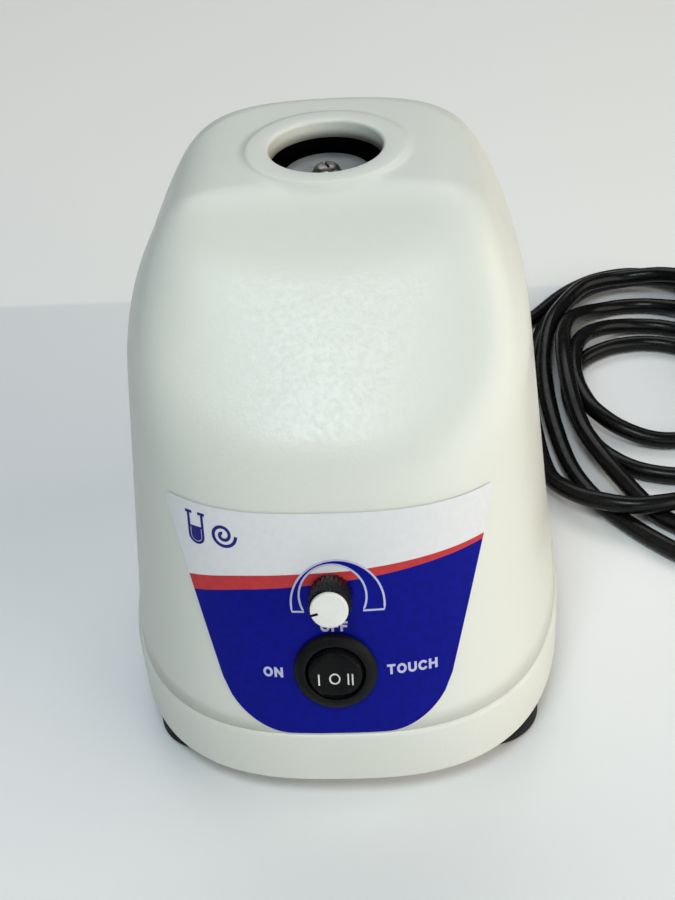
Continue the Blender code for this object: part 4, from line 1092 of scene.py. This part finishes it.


def make_floor():
    """A pale matt table top that runs far out on all sides; its far part has another tone and glows,
    painted light that stands in for light falling on it.
    """
    material, nodes, links, shader, place = new_material("table_top", 0.5, specular=0.3)
    patches = noise(nodes, links, place, 400.0, 2.0)
    near = ramp(nodes, links, patches, [(0.3, (0.89, 0.89, 0.89)), (0.7, (0.92, 0.92, 0.92))])
    far = ramp(nodes, links, patches, [(0.3, (0.85, 0.85, 0.82)), (0.7, (0.88, 0.88, 0.85))])
    axes = nodes.new("ShaderNodeSeparateXYZ")
    links.new(place, axes.inputs["Vector"])
    edge = nodes.new("ShaderNodeMapRange")
    edge.inputs["From Min"].default_value, edge.inputs["From Max"].default_value = FAR_EDGE
    links.new(axes.outputs["Y"], edge.inputs["Value"])
    mix = nodes.new("ShaderNodeMix")
    mix.data_type = "RGBA"
    links.new(edge.outputs["Result"], mix.inputs["Factor"])
    links.new(near, mix.inputs[6])
    links.new(far, mix.inputs[7])
    links.new(mix.outputs[2], shader.inputs["Base Color"])
    # painted light: past the edge the table emits its own colour, so the far part looks brighter
    painted_glow = nodes.new("ShaderNodeMath")
    painted_glow.operation = "MULTIPLY"
    painted_glow.inputs[1].default_value = FAR_PAINTED_LIGHT
    links.new(edge.outputs["Result"], painted_glow.inputs[0])
    links.new(mix.outputs[2], shader.inputs["Emission Color"])
    links.new(painted_glow.outputs["Value"], shader.inputs["Emission Strength"])
    half = 3000.0
    rings = [[(-half, -half, z), (half, -half, z), (half, half, z), (-half, half, z)] for z in (-20.0, 0.0)]
    floor = solid("table_top", *stack(rings), material)


def make_camera():
    """The camera stands in front, a little to the right and well above."""
    data = bpy.data.cameras.new("camera")
    data.sensor_width = 36.0
    data.lens = 56.0
    data.clip_start = 0.01
    data.clip_end = 20.0
    camera = bpy.data.objects.new("camera", data)
    back_x, elevation, roll = math.radians(4.716), math.radians(37.698), math.radians(-4.643)
    back = Vector((math.sin(back_x) * math.cos(elevation), -math.cos(back_x) * math.cos(elevation),
                   math.sin(elevation)))
    level = Vector((math.cos(back_x), math.sin(back_x), 0.0))
    upward = back.cross(level)
    right = level * math.cos(roll) + upward * math.sin(roll)
    up = upward * math.cos(roll) - level * math.sin(roll)
    camera.matrix_world = Matrix.Translation((0.02768, -0.34586, 0.33546)) @ Matrix(
        (right, up, back)).transposed().to_4x4()
    bpy.context.scene.collection.objects.link(camera)
    bpy.context.scene.camera = camera


def area_light(name, place, target, size, power, color):
    data = bpy.data.lights.new(name, "AREA")
    data.shape = "RECTANGLE"
    data.size, data.size_y = size
    data.energy = power
    data.color = color
    lamp = bpy.data.objects.new(name, data)
    lamp.location = place
    lamp.rotation_mode = "QUATERNION"
    lamp.rotation_quaternion = (Vector(target) - Vector(place)).to_track_quat("-Z", "Y")
    bpy.context.scene.collection.objects.link(lamp)


def make_lights():
    """A cool light above the front, a soft one low in front, a broad warm one on the right, one over the
    far part of the table, and a faint even sky."""
    center = (0.0, 0.0, 0.08)
    area_light("cool", (-0.1, -0.6, 1.2), center, (0.5, 0.42), 7.2, (0.80, 0.94, 1.0))
    area_light("front", (0.6, -1.4, 0.5), center, (1.4, 0.8), 4.8, (0.97, 0.97, 1.0))
    area_light("warm", (1.2, -0.4, 0.62), center, (1.7, 1.1), 13.0, (1.0, 0.91, 0.775))
    area_light("above", (-0.1, 1.15, 1.3), (0.0, 0.6, 0.0), (1.4, 0.9), 8.5, (0.97, 0.97, 1.0))
    world = bpy.data.worlds.new("studio")
    world.use_nodes = True
    background = world.node_tree.nodes["Background"]
    background.inputs["Color"].default_value = (0.88, 0.94, 1.0, 1.0)
    background.inputs["Strength"].default_value = 0.05
    bpy.context.scene.world = world
    bpy.context.scene.view_settings.view_transform = "Standard"


def dress_frame(frame, look):
    """Gives each CAD node that stays the procedural finish of its slot."""
    for part in frame["record"]["subparts"]:
        node = frame["nodes"][part["node"]]
        for slot in node.material_slots:
            slot.material = look[part["material_slot"]]


def main():
    for item in list(bpy.data.objects):
        bpy.data.objects.remove(item)
    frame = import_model()
    look = make_materials()
    look["printed_film"] = look["film_white"]
    make_camera()
    make_plug(look)
    make_cord(look["black_pvc"])
    make_cover(look["cream_paint"], look["dark_primer"])
    make_pan(look["cream_paint"])
    make_feet(look["black_rubber"])
    make_label(look)
    make_knob(look)
    make_switch(look)
    make_carrier(look)
    make_gland(look["black_rubber"])
    dress_frame(frame, look)
    make_floor()
    make_lights()


main()
